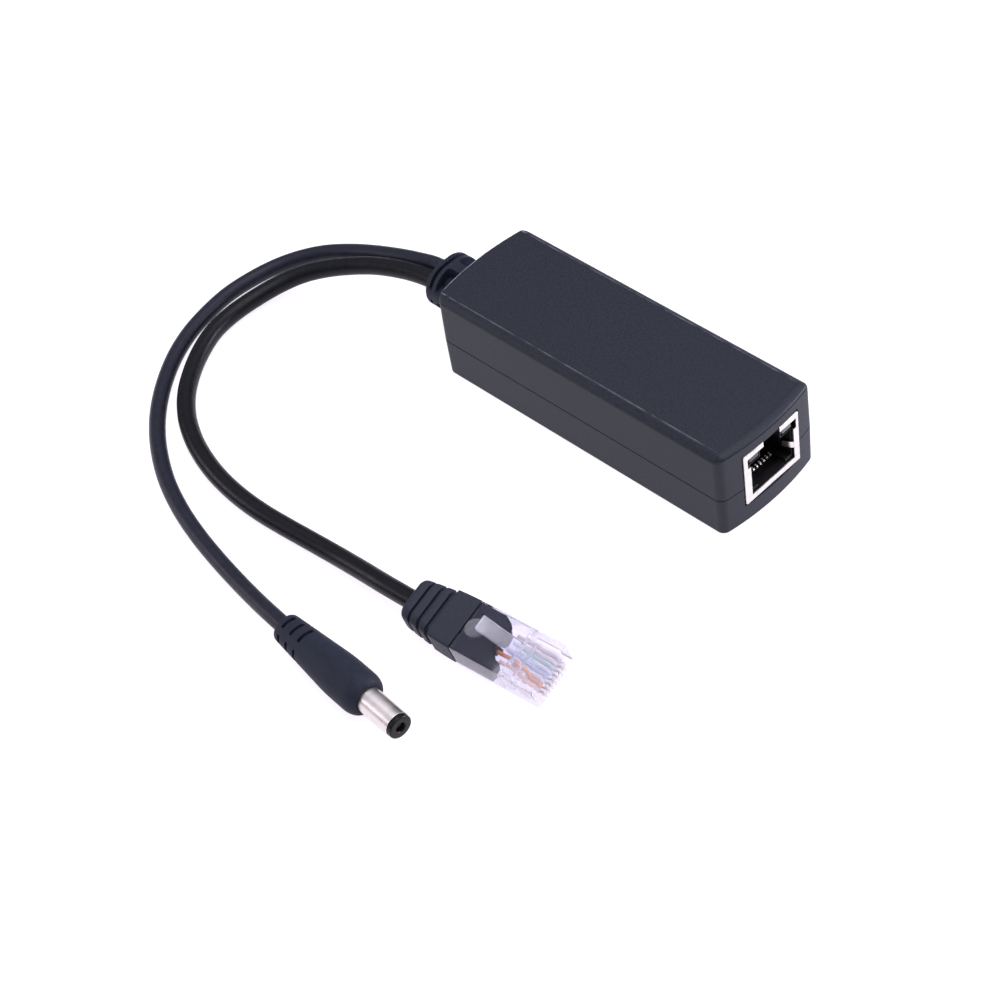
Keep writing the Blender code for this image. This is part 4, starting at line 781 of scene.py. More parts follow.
def crest_highlight_paint(place):
    """Painted highlight over slight wear on the roof's crest: most at the cable end, less along its
    sides, 0 elsewhere.
    """
    if place.z < HEIGHT - 0.3 * TOP_LINE or place.x > END - 3.4 * MM:
        return 0.0
    if place.x < -END + 2.4 * MM:
        return 0.9
    return 0.0 if place.x < -END + 3.4 * MM else 0.26


# the crest's paint is a painted highlight over slight wear
piece("housing_top", upper_shell(), SHELL, ["upper_shell"], paint=crest_highlight_paint)
piece("housing_base", lower_shell(), SHELL, ["lower_shell"])

# %% [markdown]
# ## Finishes of the socket
# The shield is sheet steel, tin plated before it was folded: bright and softly mirrored on its
# front, with painted shade inside the socket, where its colour turns dull brown. The insert is
# black nylon filled with glass, which leaves a dry matte surface. The contacts are phosphor bronze
# wire with a flash of gold; their front bends keep the bright colour, and farther in they get
# painted shade. The light pipes are clear acrylic over a dark space, so they look like grey green
# glass,
# and the right one is paler: its own grey green, lightened as painted light. Metals keep the
# default IOR, and what changes along a piece is painted.

# %% Folded tin plate


def folded_tin():
    """Tin plate on folded steel: bright on the face, with painted shade in dull brown inside."""
    made, tree, shader = textured("tin plated steel sheet", ("#dcd9d7", "#e8e5e2"), (0.31, 0.42),
                                  1.4, 0.006, Metallic=1.0)
    base = shader.inputs["Base Color"].links[0].from_socket
    paint = add_node(tree, "ShaderNodeAttribute", attribute_name="paint").outputs["Fac"]
    # painted shade: inside the socket the tin's colour turns dull brown
    painted_shade = add_node(tree, "ShaderNodeMath", operation="SUBTRACT", inputs={0: 1.0}, use_clamp=True,
                    links={1: paint}).outputs["Value"]
    tree.links.new(blend(tree, painted_shade, base, "#5d5450"), shader.inputs["Base Color"])
    return made


TIN = folded_tin()
print(TIN.name, "nodes", len(TIN.node_tree.nodes))

# %% Gold on sprung bronze


def sprung_gold():
    """Flash gold on phosphor bronze: bright on the front bend, painted shade in near black farther
    in.
    """
    made, tree, shader = textured("flash gold on sprung bronze", ("#efe7d9", "#f7f2ea"),
                                  (0.30, 0.40), 0.6, 0.002, 3.0, Metallic=1.0,
                                  Specular_IOR_Level=0.08)
    base = shader.inputs["Base Color"].links[0].from_socket
    paint = add_node(tree, "ShaderNodeAttribute", attribute_name="paint").outputs["Fac"]
    # painted shade: farther in, the wire's colour turns near black and loses its metal
    painted_shade = add_node(tree, "ShaderNodeMath", operation="SUBTRACT", inputs={0: 1.0}, use_clamp=True,
                    links={1: paint}).outputs["Value"]
    tree.links.new(blend(tree, painted_shade, base, "#0a0806"), shader.inputs["Base Color"])
    tree.links.new(paint, shader.inputs["Metallic"])
    return made


SPRING = sprung_gold()
print(SPRING.name, "nodes", len(SPRING.node_tree.nodes))

# %% Nylon and acrylic
# Glass filled nylon: dry and matte, its 0.35 mm mottle is the glass just under the skin
NYLON = textured("glass filled nylon, moulded black", ("#07070b", "#0c0c12"), (0.48, 0.62), 0.35,
                 0.01, Specular_IOR_Level=0.3)[0]
# Polished acrylic: sharp highlights on slow 1.8 mm waves; the right pipe is paler: its own grey
# green, lightened as painted light
PIPE_WITH_PAINTED_LIGHT = textured("clear light pipe, moulded acrylic", ("#454f4d", "#5a6563"), (0.12, 0.20),
                      1.8, 0.01, Transmission_Weight=0.25, IOR=1.49)[0]
DARK_PIPE = textured("smoked light pipe, moulded acrylic", ("#303336", "#3b3f42"), (0.12, 0.20),
                     1.8, 0.01, Transmission_Weight=0.25, IOR=1.49)[0]
print(NYLON.name, PIPE_WITH_PAINTED_LIGHT.name, DARK_PIPE.name, sep="; ")

# %% [markdown]
# ## Shield
# The shield is one blank, folded into a box round the insert, with a stepped mouth stamped out and
# two fingers bent inwards to touch the plug. Its face could be a flat frame with a hole. A hollow
# box with a cut mouth also shows the sheet's 0.3 mm thickness, and every edge is softened by
# 0.05 mm, as a stamped edge is. Outlines are drawn for one half and mirrored.

# %% Prisms and soft edges


def soften(shape, radius, segments=2, angle=SHARP):
    """Round every true edge of a bmesh."""
    bmesh.ops.dissolve_limit(shape, angle_limit=math.radians(0.5), verts=shape.verts,
                             edges=shape.edges)
    bmesh.ops.recalc_face_normals(shape, faces=shape.faces)
    edges = [e for e in shape.edges if e.is_manifold and e.calc_face_angle(0.0) > angle]
    bmesh.ops.bevel(shape, geom=edges, offset=radius, segments=segments, affect="EDGES",
                    profile=0.5, material=-1, clamp_overlap=True)


def prism(outline, low, high, axis, radius=0.0):
    """Extrude a flat outline along X or Y between two stations."""
    shape = bmesh.new()
    if axis == "X":
        corners = [shape.verts.new((low, a, b)) for a, b in outline]
    else:
        corners = [shape.verts.new((a, low, b)) for a, b in outline]
    far = bmesh.ops.extrude_face_region(shape, geom=[shape.faces.new(corners)], use_keep_orig=True)
    step = Vector((high - low, 0, 0)) if axis == "X" else Vector((0, high - low, 0))
    bmesh.ops.translate(shape, vec=step,
                        verts=[v for v in far["geom"] if isinstance(v, bmesh.types.BMVert)])
    bmesh.ops.recalc_face_normals(shape, faces=shape.faces)
    if radius:
        soften(shape, radius)
    return shape


def mirrored(half):
    """Both halves of an outline given for positive Y."""
    return half + [(-y, z) for y, z in reversed(half)]


trial = prism([(0, 0), (1, 0), (0, 1)], 0, 1, "X")
print("a prism over a triangle has", len(trial.faces), "faces")
trial.free()

# %% Sizes of the mouth
# half widths of the stepped opening, and heights over the table
SHEET = 0.3 * MM
MOUTH = 6.45 * MM
MOUTH_LOW = 6.5 * MM
MOUTH_HIGH = 14.35 * MM
WINDOW = 7.3 * MM
WINDOW_HIGH = 16.9 * MM
NOTCH = 2.45 * MM
NOTCH_HIGH = JACK_TOP + SHEET
INSERT_FACE = 39.7 * MM
SOCKET_FRAME = Matrix.Translation((0, JACK_SHIFT, 0))
print("mouth", round(2 * MOUTH / MM, 1), "mm wide")

# %% Shield
FINGER_LOW = 9.3 * MM
FINGER_HIGH = 10.9 * MM


def finger(side):
    """One spring finger, bent in from the edge of the mouth and back at its tip."""
    path = [(-0.08, 0.30), (-0.08, -0.10), (-0.6, -0.50), (-2.2, -1.25), (-2.4, -0.95),
            (-0.22, 0.30)]
    return loft([[Vector((JACK_FACE + x * MM, side * (MOUTH + y * MM), z)) for x, y in path]
                 for z in (FINGER_LOW, FINGER_HIGH)])


def shield():
    """Folded shield with its framed face and the two spring fingers."""
    shape = box((JACK_REAR, -JACK_HALF, JACK_BASE), (JACK_FACE, JACK_HALF, JACK_TOP), 0.35 * MM, 3)
    hollow = box((JACK_REAR + SHEET, -JACK_HALF + SHEET, JACK_BASE - 2 * SHEET),
                 (JACK_FACE - SHEET, JACK_HALF - SHEET, JACK_TOP - SHEET), 0.1 * MM, 2)
    shape = carve(shape, hollow)
    mouth = mirrored([(MOUTH, MOUTH_LOW), (MOUTH, MOUTH_HIGH), (WINDOW, MOUTH_HIGH),
                      (WINDOW, WINDOW_HIGH), (NOTCH, WINDOW_HIGH), (NOTCH, NOTCH_HIGH)])
    shape = carve(shape, prism(mouth, JACK_FACE - 3 * SHEET, JACK_FACE + 2 * SHEET, "X"))
    for side in (-1, 1):
        shape = carve(shape, finger(side), "UNION")
    soften(shape, 0.05 * MM, 2)
    return slice_across(shape, JACK_FACE - 0.55 * MM, JACK_FACE - 1.0 * MM)


def unshaded_front(place):
    """1 on the shield's front and the roots of its fingers; 0 inside the socket, where the tin gets
    painted shade.
    """
    return min(1.0, max(0.0, (place.x - JACK_FACE + 1.0 * MM) / (0.45 * MM)))


# the shield's paint marks where its tin gets painted shade inside the socket
piece("socket_shield", shield(), TIN, ["jack_shield"], SOCKET_FRAME, unshaded_front)

# %% [markdown]
# ## Insert
# The insert is the plastic block inside the shield. It has the space for a plug, a channel above
# it for the plug's latch, a trough for the contacts, two bays for the light pipes and two pockets
# that let the fingers move. The block could be built up from ribs, but cutting the spaces out of
# one block is how its mould is thought out, and leaves no gaps.

# %% Insert
INSERT_HALF = 7.6 * MM
INSERT_TOP = 17.5 * MM
INSERT_REAR = JACK_REAR + 0.6 * MM
SPACE_END = INSERT_FACE - 14.6 * MM
SPACE_HALF = 6.1 * MM
SPACE_FLOOR = 7.4 * MM
TROUGH_HALF = 4.2 * MM
LATCH_HALF = 3.05 * MM


def insert():
    """Black insert with the plug's space, the trough, the latch channel and the bays."""
    shape = box((INSERT_REAR, -INSERT_HALF, JACK_BASE), (INSERT_FACE, INSERT_HALF, INSERT_TOP),
                0.1 * MM, 2)
    space = mirrored([(TROUGH_HALF, 6.8 * MM), (TROUGH_HALF, SPACE_FLOOR),
                      (SPACE_HALF, SPACE_FLOOR), (SPACE_HALF, MOUTH_HIGH),
                      (LATCH_HALF, MOUTH_HIGH), (LATCH_HALF, WINDOW_HIGH),
                      (NOTCH, WINDOW_HIGH), (NOTCH, 17.2 * MM)])
    shape = carve(shape, prism(space, SPACE_END, JACK_FACE, "X"))
    # the trough under the contacts, then the room behind it where they bend down to the board
    shape = carve(shape, box((SPACE_END - 0.3 * MM, -TROUGH_HALF, 6.1 * MM),
                             (INSERT_FACE - 1.5 * MM, TROUGH_HALF, SPACE_FLOOR)))
    shape = carve(shape, box((INSERT_REAR + 0.8 * MM, -TROUGH_HALF, JACK_BASE - 0.3 * MM),
                             (SPACE_END, TROUGH_HALF, 7.0 * MM)))
    for side in (-1, 1):
        # the light pipe's bay, then the finger's pocket
        first, last = sorted((side * 3.3 * MM, side * 8.2 * MM))
        shape = carve(shape, box((INSERT_FACE - 7.2 * MM, first, MOUTH_HIGH + 0.2 * MM),
                                 (JACK_FACE, last, WINDOW_HIGH + 0.2 * MM)))
        first, last = sorted((side * 5.4 * MM, side * 7.9 * MM))
        shape = carve(shape, box((JACK_FACE - 3.6 * MM, first, 9.0 * MM),
                                 (JACK_FACE, last, 11.2 * MM)))
    return shape


piece("socket_insert", insert(), NYLON, ["jack_insert"], SOCKET_FRAME)

# %% [markdown]
# ## Contacts and light pipes
# Each contact is one bent spring wire: up from the board, forward along the trough, round a tight
# hairpin, and back upwards at 21 degrees, where the plug's blade presses on it. A swept curve would
# do, but its section would twist at the hairpin. A centre line in side view is offset to both sides
# instead, and that outline is extruded to the wire's width.

# %% One bent strip


def strip(path, thickness):
    """Both sides of a bent strip whose centre line is given in X and Z."""
    left, right = [], []
    for index, point in enumerate(path):
        here = Vector(point)
        into = (here - Vector(path[index - 1])).normalized() if index else None
        out = (Vector(path[index + 1]) - here).normalized() if index < len(path) - 1 else None
        along = ((into or out) + (out or into)).normalized()
        normal = Vector((-along.y, along.x))
        left.append(tuple(here + normal * thickness / 2))
        right.append(tuple(here - normal * thickness / 2))
    return left + list(reversed(right))


CONTACT_BEND = INSERT_FACE - 3.6 * MM
CONTACT_RUN = 6.55 * MM
CONTACT_SHEET = 0.3 * MM
CONTACT_PITCH = 1.02 * MM
CONTACT_HALF = 0.19 * MM


def contact_path():
    """Centre line of one sprung contact: tail, run, hairpin at the front, rising spring."""
    rear = JACK_REAR + 2.0 * MM
    turn = CONTACT_SHEET
    path = [(rear, JACK_BASE), (rear, CONTACT_RUN - turn), (rear + turn, CONTACT_RUN),
            (CONTACT_BEND, CONTACT_RUN)]
    for step in range(1, 8):
        angle = math.pi * (step / 8 - 0.5)
        path.append((CONTACT_BEND + turn * math.cos(angle),
                     CONTACT_RUN + turn * (1 + math.sin(angle))))
    rise = math.radians(21)
    for along in (0.0, 0.45 * MM, 1.1 * MM, 4.0 * MM, 8.4 * MM, 9.5 * MM):
        path.append((CONTACT_BEND - along * math.cos(rise),
                     CONTACT_RUN + 2 * turn + along * math.sin(rise)))
    return path


print("points on a contact", len(contact_path()))

# %% Eight contacts
# where the contacts' painted shade starts, and where it is full
UNSHADED_TO = CONTACT_BEND - 0.1 * MM
SHADED_FROM = CONTACT_BEND - 0.35 * MM


def unshaded_bend(place):
    """1 on the front bend of a contact, and 0 farther in, where the wire gets painted shade."""
    return min(1.0, max(0.0, (place.x - SHADED_FROM) / (UNSHADED_TO - SHADED_FROM)))


for index in range(8):
    y = (index - 3.5) * CONTACT_PITCH
    wire = prism(strip(contact_path(), CONTACT_SHEET), y - CONTACT_HALF, y + CONTACT_HALF, "Y")
    slice_across(wire, UNSHADED_TO, SHADED_FROM)
    piece(f"socket_contact_{index + 1}", wire, SPRING,
          [f"jack_contact_{index + 1}"], SOCKET_FRAME, unshaded_bend)
print("contacts", index + 1, "at", round(CONTACT_PITCH / MM, 2), "mm")

# %% Light pipes
# the right pipe's paler colour is its own grey green, lightened as painted light
for name, side, finish in (("left", -1, DARK_PIPE), ("right", 1, PIPE_WITH_PAINTED_LIGHT)):
    first, last = sorted((side * 6.4 * MM, side * 3.5 * MM))
    lens = box((INSERT_FACE - 7.0 * MM, first, 15.0 * MM),
               (INSERT_FACE + 0.2 * MM, last, WINDOW_HIGH), 0.35 * MM, 4)
    piece(f"light_pipe_{name}", lens, finish, [f"led_lens_{name}"], SOCKET_FRAME)
print("light pipes built")

# %% [markdown]
# ## Strain relief
# The strain relief is soft PVC, moulded over both cables: a flat oval boot with an end ring, a slot
# that lets it bend, four deep windows against the housing, and a neck with a flange that holds it
# behind the wall. Overmoulded PVC is dull, nearly without highlights, with a faint 1.1 mm mottle.
# The body is a loft over ovals. The slots have round ends, so each is cut with a tool whose
# outline pulls back at either end, like the cutter that made the mould.

# %% Overmoulded PVC
# Overmoulded PVC: a broad dull sheen; the 1.1 mm mottle is where the plastic cooled unevenly
OVERMOULD = textured("overmoulded soft PVC", ("#1f2230", "#252836"), (0.54, 0.66), 1.1, 0.01,
                     Specular_IOR_Level=0.16)[0]
print(OVERMOULD.name)

# %% A cutter with round ends


def slot_shape(low, high, corner, sector, steps=6):
    """A cutter between two stations along X with round corners: sector(pull) gives its outline."""
    turns = [math.pi / 2 * step / steps for step in range(steps + 1)]
    stations = [(low + corner * (1 - math.cos(turn)), corner * (1 - math.sin(turn)))
                for turn in turns]
    meets = high - low < 2.01 * corner
    stations += [(low + high - x, pull)
                 for x, pull in reversed(stations[:-1] if meets else stations)]
    return loft([[Vector((x, y, z)) for y, z in sector(pull)] for x, pull in stations])


trial = slot_shape(0, 4, 1, lambda pull: [(0, 0), (1 - pull / 2, 0), (0, 1)])
print("a cutter with round ends has", len(trial.faces), "faces")
trial.free()

# %% Outlines of the slots
BOOT_HALF = (6.85 * MM, 5.55 * MM)
WINDOW_INNER = 1.25 * MM


def oval_run(level, grown, start_drop, end_half, steps=24):
    """Points over one side of the oval, from a height by the seam to a distance from the middle."""
    height = BOOT_HALF[1] + grown
    straight = BOOT_HALF[0] - BOOT_HALF[1]
    start = math.asin(min(0.99, start_drop / height))
    beyond = 0.0 if end_half is None else max(0.0, end_half - straight) + 0.04 * MM
    last = math.acos(beyond / height)
    points = []
    for step in range(steps + 1):
        angle = start + (last - start) * step / steps
        points.append((straight + height * math.cos(angle),
                       PARTING + level * height * math.sin(angle)))
    if end_half is not None:
        rise = math.sin(math.acos(max(0.0, end_half - straight) / height))
        points.append((end_half, PARTING + level * height * rise))
    return points


def band_slot(level, depth, drop):
    """Outline of the slot that runs right over one side of the ring, less a pull at both ends."""
    def sector(pull):
        outer = oval_run(level, WALL, drop + pull, None)
        inner = oval_run(level, -depth, drop + pull, None)
        outer += [(-y, z) for y, z in reversed(outer)]
        inner += [(-y, z) for y, z in reversed(inner)]
        return outer + inner[::-1]
    return sector


def window_slot(side, level, depth, drop):
    """Outline of one of the four windows, less a pull at both ends."""
    def sector(pull):
        outer = oval_run(level, WALL, drop + pull, WINDOW_INNER + pull)
        inner = oval_run(level, -depth, drop + pull, WINDOW_INNER + pull)
        return [(side * y, z) for y, z in outer + inner[::-1]]
    return sector


print("points over the oval", len(oval_run(1, 0.0, 0.0, None)))

# %% Strain relief
RING_HALF = (6.7 * MM, 5.4 * MM)
BOOT_SOFT = 0.5 * MM
BOOT_SHOULDER = -END - 0.3 * MM
BOOT_SEAT = -36.041 * MM
BOOT_FLANGE = 2.0 * MM
BOOT_RAISED = 0.35 * MM
SLOT_START = RELIEF_FACE + 1.2 * MM
WINDOW_START = SLOT_START + 1.9 * MM


def relief():
    """Flat oval boot: slots over its end ring, then four deep windows against the housing."""
    sections = []
    for drawn, risen in reversed(quarter_round(BOOT_SOFT, 6)):
        sections.append((RELIEF_FACE + BOOT_SOFT - risen, RING_HALF, -drawn))
    for drawn, risen in quarter_round(BOOT_SOFT / 2, 4):
        sections.append((BOOT_SHOULDER - BOOT_SOFT / 2 + risen, BOOT_HALF, -drawn))
    sections += [(BOOT_SHOULDER, NECK_HALF, 0.0), (BOOT_SEAT - BOOT_FLANGE, NECK_HALF, 0.0),
                 (BOOT_SEAT - BOOT_FLANGE, BOOT_HALF, -BOOT_SOFT),
                 (BOOT_SEAT, BOOT_HALF, -BOOT_SOFT)]
    rings = []
    for x, half, grown in sections:
        raised = BOOT_RAISED if x < BOOT_SHOULDER - 0.01 * MM else 0.0
        rings.append([point + Vector((0, 0, raised))
                      for point in oval(x, half[0] + grown, half[1] + grown)])
    shape = loft(rings)
    for level, drop in ((1, 2.0 * MM), (-1, 0.3 * MM)):
        shape = carve(shape, slot_shape(SLOT_START, SLOT_START + 0.9 * MM, 0.45 * MM,
                                        band_slot(level, 1.2 * MM, drop)))
        for side in (-1, 1):
            shape = carve(shape, slot_shape(WINDOW_START, WINDOW_START + 3.9 * MM, 0.8 * MM,
                                            window_slot(side, level, 2.1 * MM, drop)))
    return shape


piece("strain_relief", relief(), OVERMOULD, ["cable_boot"])
print("strain relief built")

# %% [markdown]
# ## Finishes of the DC plug
# The handle is the same overmoulded PVC. The barrel is brass, turned on a lathe and nickel plated:
# a warm bright metal whose tool marks run round it and draw the highlight out along it. The marks
# are drawn 0.3 mm apart, some ten times coarser than the real ones, which are too fine to show.
# The tip is smooth black nylon with a sharper highlight than the handle.

# %% Nickel and nylon


def turned_nickel():
    """Nickel plate on turned brass, with fine rings left by the tool."""
    made, tree, shader = textured("nickel plate on turned brass", ("#d9d0cf", "#e4dbda"),
                                  (0.28, 0.36), 3.0, 0.001, Metallic=1.0)
    rings = noise(tree, 6.0, 2.0, 0.3)
    bump(tree, shader, rings, 0.0015, 0.4)
    return made


NICKEL = turned_nickel()
# Moulded nylon without filler: smooth, with a small clear highlight on the rounded edge
TIP = textured("black polyamide tip", ("#050506", "#08080a"), (0.30, 0.38), 0.5, 0.003,
               Specular_IOR_Level=0.22)[0]
print(NICKEL.name, "and", TIP.name)

# %% [markdown]
# ## DC plug
# The handle is round, and widens slowly from the cable to the grip, with a rounded shoulder at
# the barrel and three rows of slots that let its tail bend. A profile spun about its axis gives
# the body. The slots are cut one by one, because a texture of dark bands would stay flat in
# outline. The barrel is a tube with a rounded front edge, and the tip carries the bore.

# %% A turned profile


def lathe(profile, sides=96):
    """Spin (distance along X, radius) pairs about the X axis and cap both ends."""
    shape = bmesh.new()
    line = [shape.verts.new((along, 0.0, radius)) for along, radius in profile]
    edges = [shape.edges.new(pair) for pair in zip(line, line[1:])]
    bmesh.ops.spin(shape, geom=line + edges, cent=(0, 0, 0), axis=(1, 0, 0), angle=2 * math.pi,
                   steps=sides, use_merge=True)
    bmesh.ops.holes_fill(shape, edges=[e for e in shape.edges if e.is_boundary], sides=0)
    return shape


trial = lathe([(0, 1), (1, 1)], 12)
print("a cylinder spun in twelve steps has", len(trial.faces), "faces")
trial.free()

# %% Sizes of the DC plug
# the handle widens along TAPER, and levels out along the last TAPER_EASE of it
HANDLE = 26.2 * MM
HANDLE_RADIUS = 4.57 * MM
HANDLE_REAR = 3.12 * MM
TAPER = 19.5 * MM
TAPER_EASE = 4.0 * MM
BARREL = 2.75 * MM
BARREL_TIP = 34.9 * MM
BORE = 1.05 * MM


def handle_radius(along):
    """Radius of the tapered handle at a distance from its rear face."""
    late = max(0.0, along - TAPER + TAPER_EASE)
    share = (along - late ** 2 / (2 * TAPER_EASE)) / (TAPER - TAPER_EASE / 2)
    return HANDLE_REAR + (HANDLE_RADIUS - HANDLE_REAR) * share


print("handle", round(2 * handle_radius(0) / MM, 2), "to", round(2 * HANDLE_RADIUS / MM, 2), "mm")

# %% Handle


def ring_sector(middle, half_angle, inner, outer):
    """Outline of a sector of a ring, less a pull at both ends."""
    def sector(pull):
        reach = half_angle - pull / outer * 1.6
        turns = [middle + reach * (2 * step / 12 - 1) for step in range(13)]
        far = [(outer * math.cos(turn), outer * math.sin(turn)) for turn in turns]
        near = [(inner * math.cos(turn), inner * math.sin(turn)) for turn in reversed(turns)]
        return far + near
    return sector


SHOULDER = 3.0 * MM
SHOULDER_INNER = 3.2 * MM
SEAT = 2.9 * MM
SLOT_HALF = 0.4 * MM


def handle():
    """Tapered handle with a rounded shoulder, the barrel's seat and three rows of four slots."""
    profile = [(0.0, 2.45 * MM), (0.04 * MM, 2.62 * MM), (0.14 * MM, 2.82 * MM),
               (0.3 * MM, 3.0 * MM), (0.5 * MM, 3.13 * MM)]
    profile += [(TAPER * step / 28, handle_radius(TAPER * step / 28)) for step in range(2, 29)]
    for step in range(17):
        angle = math.pi / 2 * step / 16
        profile.append((HANDLE - SHOULDER + SHOULDER * math.sin(angle),
                        SHOULDER_INNER + (HANDLE_RADIUS - SHOULDER_INNER) * math.cos(angle)))
    profile += [(HANDLE, SEAT), (HANDLE - 5.7 * MM, SEAT)]
    shape = lathe(profile)
    for row in range(3):
        at = (2.0 + 2.7 * row) * MM
        surface = handle_radius(at)
        for turn in range(4):
            sector = ring_sector(math.pi / 2 * turn, math.radians(32), surface - 0.8 * MM,
                                 surface + 1.8 * MM)
            shape = carve(shape, slot_shape(at - SLOT_HALF, at + SLOT_HALF, SLOT_HALF, sector))
    return shape


piece("dc_plug_handle", handle(), OVERMOULD, ["dc_handle"], DC_FRAME)
print("handle", round(HANDLE / MM, 1), "mm long")

# %% Barrel, tip and inner contact


def ring_tube(low, high, outer, inner, round_edge):
    """A tube about X with a rounded front edge."""
    shape = lathe([(low, outer), (high - round_edge, outer),
                   (high - 0.3 * round_edge, outer - 0.3 * round_edge), (high, outer - round_edge)])
    return carve(shape, lathe([(low - MM, inner), (high + MM, inner)]))


piece("dc_plug_barrel", ring_tube(20.8 * MM, BARREL_TIP, BARREL, 2.35 * MM, 0.08 * MM), NICKEL,
      ["dc_barrel"], DC_FRAME)
tip_start = BARREL_TIP + 0.15 * MM
tip_end = tip_start + 0.9 * MM
tip_profile = [(21.1 * MM, 2.2 * MM), (tip_start, 2.2 * MM), (tip_start, 2.6 * MM)]
tip_profile += [(tip_end - 0.3 * MM + risen, 2.6 * MM - drawn)
                for drawn, risen in quarter_round(0.3 * MM, 6)]
tip_profile += [(tip_end, BORE + 0.15 * MM), (tip_end - 0.15 * MM, BORE),
                (tip_end - 9.0 * MM, BORE)]
piece("dc_plug_tip", lathe(tip_profile), TIP, ["dc_insulator"], DC_FRAME)
piece("dc_plug_contact", ring_tube(tip_end - 8.7 * MM, tip_end - 0.9 * MM, 0.85 * MM, 0.55 * MM,
                                   0.05 * MM), NICKEL, ["dc_center_contact"], DC_FRAME)
print("dc plug built")

# %% [markdown]
# ## Finishes of the clear plug
# The body is clear polycarbonate from a polished mould. Real polycarbonate has an IOR of 1.58, but
# at that value the small solid front would turn into a bright lump at this size, so it is set
# lower. Thick plastic and the lever scatter more light, and paint says where. The black part is
# PVC that was moulded on, a shade paler than the strain relief. The conductors are insulated with
# thin extruded plastic, every second one white with a coloured stripe, and paler than new ones,
# as they look through the body. The blades are stamped bronze with a flash of gold.

# %% Polycarbonate


def clear_polycarbonate():
    """Clear moulded polycarbonate that scatters more light where the paint marks thick plastic."""
    made, tree, shader = principled("clear moulded polycarbonate", "#f3f0fc", 0.10, IOR=1.22,
                                    Specular_IOR_Level=0.15)
    wavy = noise(tree, 2.6, 2.0)
    tree.links.new(spread(tree, wavy, 0.07, 0.13), shader.inputs["Roughness"])
    bump(tree, shader, wavy, 0.02, 0.35)
    paint = add_node(tree, "ShaderNodeAttribute", attribute_name="paint").outputs["Fac"]
    clear = add_node(tree, "ShaderNodeMath", operation="SUBTRACT", inputs={0: 1.0},
                     links={1: paint}).outputs["Value"]
    tree.links.new(clear, shader.inputs["Transmission Weight"])
    return made


POLYCARBONATE = clear_polycarbonate()
print(POLYCARBONATE.name, "nodes", len(POLYCARBONATE.node_tree.nodes))

# %% Wire insulation


def striped_wire(name, base, stripe):
    """Extruded insulation: satin, slightly uneven, with a colour stripe down one side."""
    made, tree, shader = principled(name, base, 0.42)
    where = add_node(tree, "ShaderNodeTexCoord").outputs["UV"]
    apart = add_node(tree, "ShaderNodeSeparateXYZ", links={"Vector": where})
    band = add_node(tree, "ShaderNodeMath", inputs={1: 0.25}, operation="SUBTRACT",
                    links={0: apart.outputs["X"]})
    size = add_node(tree, "ShaderNodeMath", operation="ABSOLUTE", links={0: band.outputs["Value"]})
    mask = spread(tree, size.outputs["Value"], 1.0, 0.0, 0.07, 0.10)
    drawn = noise(tree, 0.5)
    tree.links.new(spread(tree, drawn, 0.36, 0.48), shader.inputs["Roughness"])
    bump(tree, shader, drawn, 0.004)
    tree.links.new(blend(tree, mask, base, stripe or base), shader.inputs["Base Color"])
    return made


WIRE_COLOURS = [("#fbd9c8", "#f3a783"), ("#f39a62", None), ("#f6eef0", "#e6efec"),
                ("#c3d4ef", None), ("#eef1fa", "#cfdcf4"), ("#c8e4df", None),
                ("#f3edee", "#e2d5ce"), ("#ddcfca", None)]
WIRES = [striped_wire(f"wire insulation {i + 1}", base, stripe)
         for i, (base, stripe) in enumerate(WIRE_COLOURS)]
print("wire finishes", len(WIRES))

# %% PVC and blades
# The same overmoulded PVC from a smoother tool: a shade paler, with a slightly clearer sheen
BOOT_PVC = textured("overmoulded soft PVC, plug boot", ("#262936", "#2d2f3c"), (0.46, 0.58), 0.8,
                    0.01, Specular_IOR_Level=0.2)[0]
# Stamped and plated: the noise is drawn out to 2 mm along X, as rolled strip is
BLADE = textured("flash gold on a stamped blade", ("#e9ddcc", "#f3e9dc"), (0.34, 0.46), 0.3,
                 0.003, 2.0, Metallic=1.0)[0]
print(BOOT_PVC.name, "and", BLADE.name)

# %% [markdown]
# ## Clear body
# The body is one moulding: a rounded block with a round boss, a latch lever that leans back over
# it, a hollow rear for the cable, a slot for the conductors and eight slots for the blades. Glass
# and clear plastic show their inside, so the hollows are cut for real, and the walls have their
# real thickness. The wire slot and the blade slots meet, as in the real plug.

# %% Sizes of the plug
PLUG_LENGTH = 20.6 * MM
PLUG_WIDTH = 11.68 * MM
PLUG_HEIGHT = 6.6 * MM
LEVER_SLOPE = math.radians(24)
LEVER_ROOT = PLUG_LENGTH - 2.7 * MM


def lever(thickness, start, end):
    """Side outline of the latch, from its root backwards and up."""
    slope = math.tan(LEVER_SLOPE)
    deep = thickness / math.cos(LEVER_SLOPE)
    return [(LEVER_ROOT - start, PLUG_HEIGHT + slope * start),
            (LEVER_ROOT - end, PLUG_HEIGHT + slope * end),
            (LEVER_ROOT - end, PLUG_HEIGHT + slope * end - deep),
            (LEVER_ROOT - start, PLUG_HEIGHT + slope * start - deep)]


def blade_y(index):
    """Sideways place of one conductor."""
    return (index - 3.5) * 1.02 * MM


print("lever root at", round(LEVER_ROOT / MM, 1), "mm")

# %% Boss and blade slots


def boss():
    """The low dome that the plug's mould leaves on top of the body."""
    dome = [(2.1, -0.4), (2.1, 0.45), (2.0, 0.62), (1.75, 0.78), (1.3, 0.86), (0.7, 0.9)]
    turns = [2 * math.pi * k / 40 for k in range(40)]
    return loft([[Vector((2.7 * MM + r * MM * math.cos(t), r * MM * math.sin(t),
                          PLUG_HEIGHT + z * MM)) for t in turns] for r, z in dome])


